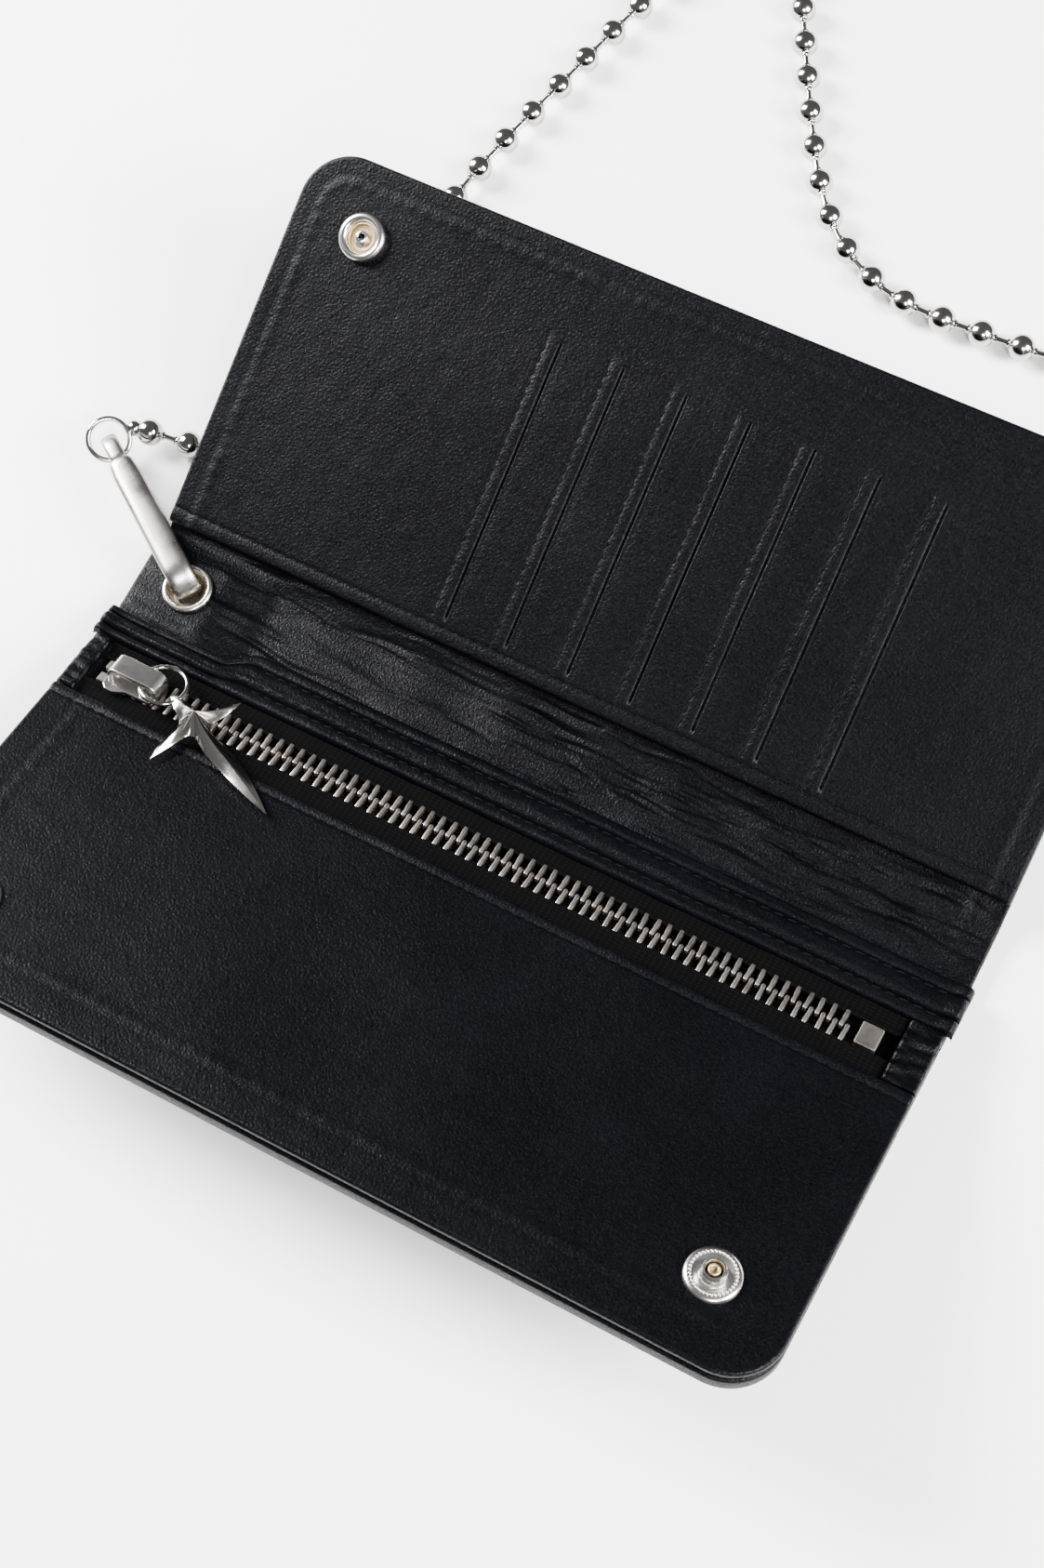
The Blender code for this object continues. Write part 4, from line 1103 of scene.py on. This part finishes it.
def make_charm():
    """A polished four-bladed star whose thin arms curve away from a ridged middle."""
    turn = Matrix.Rotation(math.radians(-27), 4, "Z")
    joint = COIN.matrix(SLIDER_X + PULL_AHEAD, ZIP_LINE - PULL_SIDE, PULL_LEVEL)
    place = joint @ turn @ Matrix.Translation(((PULL_OUTSIDE - PULL_WIRE) / 2, 0, 0))
    hub = Vector((7.2 * MM, 0.4 * MM))
    tips = ((-6, 26.8, 3.5), (82, 10.8, 4.0), (178, 9.0, 2.2), (276, 12.4, 3.8))
    hollow, curl, crown, rim = 3.3 * MM, 12 * MM, 4.2 * MM, 0.18 * MM
    rings, steps = 22, 240
    verts = []
    for sign in (1, -1):
        for ring in range(rings):
            share = ring / (rings - 1)
            for step in range(steps):
                angle = 360 * step / steps
                reach_here = hollow
                for index, (tip, length, sharpness) in enumerate(tips):
                    after = (tips[(index + 1) % 4][0] - tip) % 360 / 2
                    before = (tip - tips[index - 1][0]) % 360 / 2
                    off = (angle - tip + 180) % 360 - 180
                    near = max(0.0, 1 - abs(off) / (after if off > 0 else before))
                    reach_here = max(reach_here, hollow + (length * MM - hollow) * near**sharpness)
                distance = reach_here * share
                bend = math.radians(7) * min(distance, curl) / curl
                around = math.radians(angle) + bend
                taper = 0.45 + 0.55 * math.exp(-distance / (9 * MM))
                high = crown * (1 - share) ** 1.1 * taper + rim
                x = hub.x + distance * math.cos(around)
                y = hub.y + distance * math.sin(around)
                verts.append(place @ Vector((x, y, high if sign > 0 else -0.4 * high)))
    count = rings * steps
    faces = grid_faces(rings, steps, 0, closed=True) + grid_faces(rings, steps, count, closed=True)
    outer = (rings - 1) * steps
    for step in range(steps):
        after = (step + 1) % steps
        faces.append((outer + step, outer + after, count + outer + after, count + outer + step))
    charm = add_mesh("star_charm_blades", verts, faces, POLISHED, 32)
    weld = bmesh.new()
    weld.from_mesh(charm.data)
    bmesh.ops.remove_doubles(weld, verts=weld.verts, dist=1e-6)
    bmesh.ops.recalc_face_normals(weld, faces=weld.faces)
    weld.to_mesh(charm.data)
    weld.free()
    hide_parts("star_charm")
    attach(charm, "charm")


# ---- Snaps, eyelet and ring ----


def make_snaps():
    """Both sockets on the card side: a rolled rim, a stepped brass seat and a tube in the middle."""
    for side, x in (("left", -SNAP_X), ("right", SNAP_X)):
        place = CARD.matrix(x, SNAP_U + 1.2 * MM, FACING[1] + 0.1 * MM)
        rim = [(1.2 * MM, 0), (5.1 * MM, 0), *arc(0.95 * MM, -10, 190, (4.15 * MM, 0.95 * MM), 12)]
        rim += [(3.1 * MM, 0.35 * MM), (1.2 * MM, 0.35 * MM)]
        piece = turned(f"socket_rim_{side}", rim, STEEL, place)
        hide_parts(f"snap_socket_{side}")
        steps = [(1.3 * MM, 0.3 * MM), (3.2 * MM, 0.3 * MM), (3.2 * MM, 1.0 * MM), (2.8 * MM, 1.05 * MM)]
        steps += [(2.7 * MM, 0.6 * MM), (2.1 * MM, 0.55 * MM), (2.0 * MM, 0.4 * MM), (1.3 * MM, 0.4 * MM)]
        lining = turned(f"socket_seat_{side}", steps, BRASS, place)
        post = [(0.75 * MM, 0.2 * MM), (1.35 * MM, 0.2 * MM), (1.35 * MM, 1.05 * MM)]
        post += arc(0.3 * MM, 0, 180, (1.05 * MM, 1.15 * MM), 6)
        middle = turned(f"socket_tube_{side}", post, STEEL, place, 32)
        for made in (piece, lining, middle):
            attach(made, CARD.body)
        make_stud(side, x)
        soften(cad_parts[f"snap_cap_{side}"], 0.3 * MM)


def make_stud(side, x):
    """A stud on the coin side: a dished base with a ring of beads, a waisted button and a tube."""
    place = COIN.matrix(x, SNAP_U, FRONT[1] + 0.1 * MM)
    dome = [(1.5 * MM, 0), (5.5 * MM, 0), (5.5 * MM, 0.35 * MM), (5.2 * MM, 0.75 * MM)]
    dome += [(4.6 * MM, 0.95 * MM), (3.9 * MM, 0.95 * MM), (3.3 * MM, 0.6 * MM), (1.5 * MM, 0.55 * MM)]
    base = turned(f"stud_rim_{side}", dome, STEEL, place)
    collar = [(1.5 * MM, 0.5 * MM), (2.9 * MM, 0.5 * MM), (2.7 * MM, 1.0 * MM), (2.2 * MM, 1.5 * MM)]
    collar += [(2.35 * MM, 2.3 * MM), (2.1 * MM, 2.7 * MM), (1.8 * MM, 2.75 * MM)]
    collar += [(1.6 * MM, 2.4 * MM), (1.5 * MM, 1.0 * MM)]
    button = turned(f"stud_button_{side}", collar, STEEL, place)
    post = [(0.6 * MM, 0.4 * MM), (1.2 * MM, 0.4 * MM), (1.2 * MM, 2.2 * MM)]
    post += arc(0.3 * MM, 0, 180, (0.9 * MM, 2.3 * MM), 6)
    inner = turned(f"stud_tube_{side}", post, BRASS, place, 32)
    ball = bmesh.new()
    bmesh.ops.create_uvsphere(ball, u_segments=10, v_segments=6, radius=0.36 * MM)
    data = bpy.data.meshes.new(f"stud_bead_{side}")
    ball.to_mesh(data)
    ball.free()
    template = add_data(f"stud_bead_{side}", data, STEEL, 180)
    places = []
    spot = Matrix.Translation((4.25 * MM, 0, 0.98 * MM))
    for index in range(STUD_BEADS):
        turn = Matrix.Rotation(math.tau * index / STUD_BEADS, 4, "Z")
        places.append(place @ turn @ spot)
    beads = repeat_mesh(f"stud_beads_{side}", template, places, STEEL)
    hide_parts(f"snap_stud_{side}")
    for made in (base, button, inner, beads):
        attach(made, COIN.body)


def make_eyelet():
    """The eyelet's rolled flange, and the brass barrel that runs down through the leather."""
    level = LIFT + 3.1 * MM
    place = Matrix.Translation(EYELET + Vector((0, 0, level)))
    flange = [(3.9 * MM, -0.2 * MM), (5.4 * MM, 0.1 * MM)]
    flange += [*arc(0.75 * MM, -20, 170, (4.7 * MM, 0.35 * MM), 12), (3.95 * MM, 0.2 * MM)]
    rim = turned("eyelet_rim", flange, STEEL, place, 64)
    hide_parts("eyelet")
    barrel = [(3.75 * MM, -3.3 * MM), (4.3 * MM, -3.3 * MM), (4.2 * MM, 0.2 * MM)]
    barrel += [(4.0 * MM, 0.55 * MM), (3.75 * MM, 0.3 * MM)]
    sleeve = turned("eyelet_barrel", barrel, BRASS, place, 64)
    for made in (rim, sleeve):
        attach(made, "spine")


def strap(name, path, widths, thickness, finish, place, sides=28):
    """A bent metal band with round edges. path lies in local XZ and the width along local Y."""
    path = np.asarray(path, float)
    along = np.gradient(path, axis=0)
    along /= np.linalg.norm(along, axis=1)[:, None]
    normal = np.stack([-along[:, 1], along[:, 0]], axis=1)
    angles = np.linspace(0, math.tau, sides, endpoint=False)
    across = np.sign(np.cos(angles)) * np.abs(np.cos(angles)) ** 0.75
    through = np.sign(np.sin(angles)) * np.abs(np.sin(angles)) ** 0.85
    travelled = np.concatenate([[0], np.cumsum(np.linalg.norm(np.diff(path, axis=0), axis=1))])
    from_end = np.minimum(travelled, travelled[-1] - travelled)
    blunt = 1 - np.clip(from_end / (1.6 * MM), 0, 1)
    close = np.sqrt(np.clip(1 - blunt**2, 0.01, 1))
    verts = []
    for point, out, width, shut in zip(path, normal, widths, close):
        for side, rise in zip(across, through):
            spot = point + out * rise * thickness / 2 * shut
            verts.append(place @ Vector((spot[0], side * width / 2 * shut, spot[1])))
    faces = grid_faces(len(path), sides, closed=True)
    last = (len(path) - 1) * sides
    faces += [tuple(range(sides)), tuple(range(last, last + sides))]
    return add_mesh(name, verts, faces, finish, 60)


def wire_ring(name, node, place, outside, wire, body):
    """A ring of round wire about its local Z."""
    middle = (outside - wire) / 2
    section = arc(wire / 2, 0, 345, (middle, 0), 23)
    made = turned(name, section, BEADS, place, 72)
    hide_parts(node)
    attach(made, body)


def even_path(points, count):
    """The given number of points, evenly spaced along a line through these."""
    points = np.asarray(points, float)
    travelled = np.concatenate([[0], np.cumsum(np.linalg.norm(np.diff(points, axis=0), axis=1))])
    stations = np.linspace(0, travelled[-1], count)
    return np.stack([np.interp(stations, travelled, points[:, i]) for i in range(2)], axis=1)


def make_ring():
    """The spring ring's wide body and narrow bow, and the coupling ball that joins the chain."""
    place = Matrix.Translation(EYELET) @ Matrix.Rotation(RING_ANGLE, 4, "Z")
    middle, reach = 6.0 * MM, 4.9 * MM
    near, far = 3.9 * MM, 35.0 * MM
    upper = [(32.9 * MM, middle + reach)] + arc(reach, 90, 270, (near, middle), 24)
    path = even_path(upper + [(15.2 * MM, middle - reach)], 90)
    widths = 5.9 * MM - 1.2 * MM * smooth((path[:, 0] - 27 * MM) / (7 * MM))
    body = strap("ring_body_band", path, widths, 2.3 * MM, SATIN, place)
    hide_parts("ring_body")
    turn = [(31.6 * MM, middle + reach)] + arc(reach, 90, -90, (far, middle), 24)
    path = even_path(turn + [(31.2 * MM, middle - reach)], 60)
    bow = strap("ring_bow_band", path, np.full(60, 3.6 * MM), 1.8 * MM, SATIN, place)
    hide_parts("ring_bow")
    for piece in (body, bow):
        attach(piece, "spring_ring")

    spot = Matrix.Translation((40.8 * MM, 0, 5.7 * MM))
    tilted = place @ spot @ Matrix.Rotation(math.radians(-28.7), 4, "Y")
    for level, rise in (("lower", -0.5 * MM), ("upper", 0.5 * MM)):
        coil = tilted @ Matrix.Translation((0, 0, rise))
        name = f"jump_ring_coil_{level}"
        wire_ring(name, "jump_ring", coil, 10.1 * MM, 1.2 * MM, "chain_end")

    low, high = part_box("chain_coupling")
    start, second = Vector(CHAIN_ROUTE[0]), Vector(CHAIN_ROUTE[1])
    along = (start - second).normalized()
    turn = along.to_track_quat("Z", "Y").to_matrix().to_4x4()
    ball = [(0.0, -1.8 * MM), *arc(1.8 * MM, -80, 80, (0, 0), 12), (0.0, 1.8 * MM)]
    ball_place = Matrix.Translation((low + high) / 2 + along * 1.2 * MM) @ turn
    coupling = turned("coupling_ball", ball, BEADS, ball_place, 28)
    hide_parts("chain_coupling")
    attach(coupling, "chain_end")


def finish_frame_nodes():
    """Better materials, and rounder edges, for the CAD pieces that stay in view."""
    finishes = {
        SATIN: ("ring_gate",),
        STEEL: ("ring_gate_pin", "eyelet_washer", "snap_cap_left", "snap_cap_right"),
        BEADS: ("clasp_coupling", "clasp_swivel", "clasp_frame", "clasp_gate"),
        TEETH: (
            "zip_bottom_stop",
            "zip_top_stop_upper",
            "zip_top_stop_lower",
            "stud_post_left",
            "stud_post_right",
        ),
        SHINY: ("bill_pocket_lining", "coin_pocket_back", "coin_gusset"),
        FOAM: ("card_padding", "coin_padding"),
        BLACK: tuple(f"card_pocket_{index + 1}" for index in range(SLITS)),
    }
    for finish, names in finishes.items():
        for name in names:
            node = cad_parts[name]
            node.data.materials.clear()
            node.data.materials.append(finish)
    for name in ("ring_gate", "clasp_frame", "clasp_gate"):
        soften(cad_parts[name], 0.4 * MM)


make_camera()
make_studio()
make_chain()
make_card_facing()
make_coin_front()
make_top_band()
make_zip_ends()
make_covers_and_linings()
make_teeth()
make_tapes()
make_slider()
make_charm()
make_snaps()
make_eyelet()
make_ring()
finish_frame_nodes()
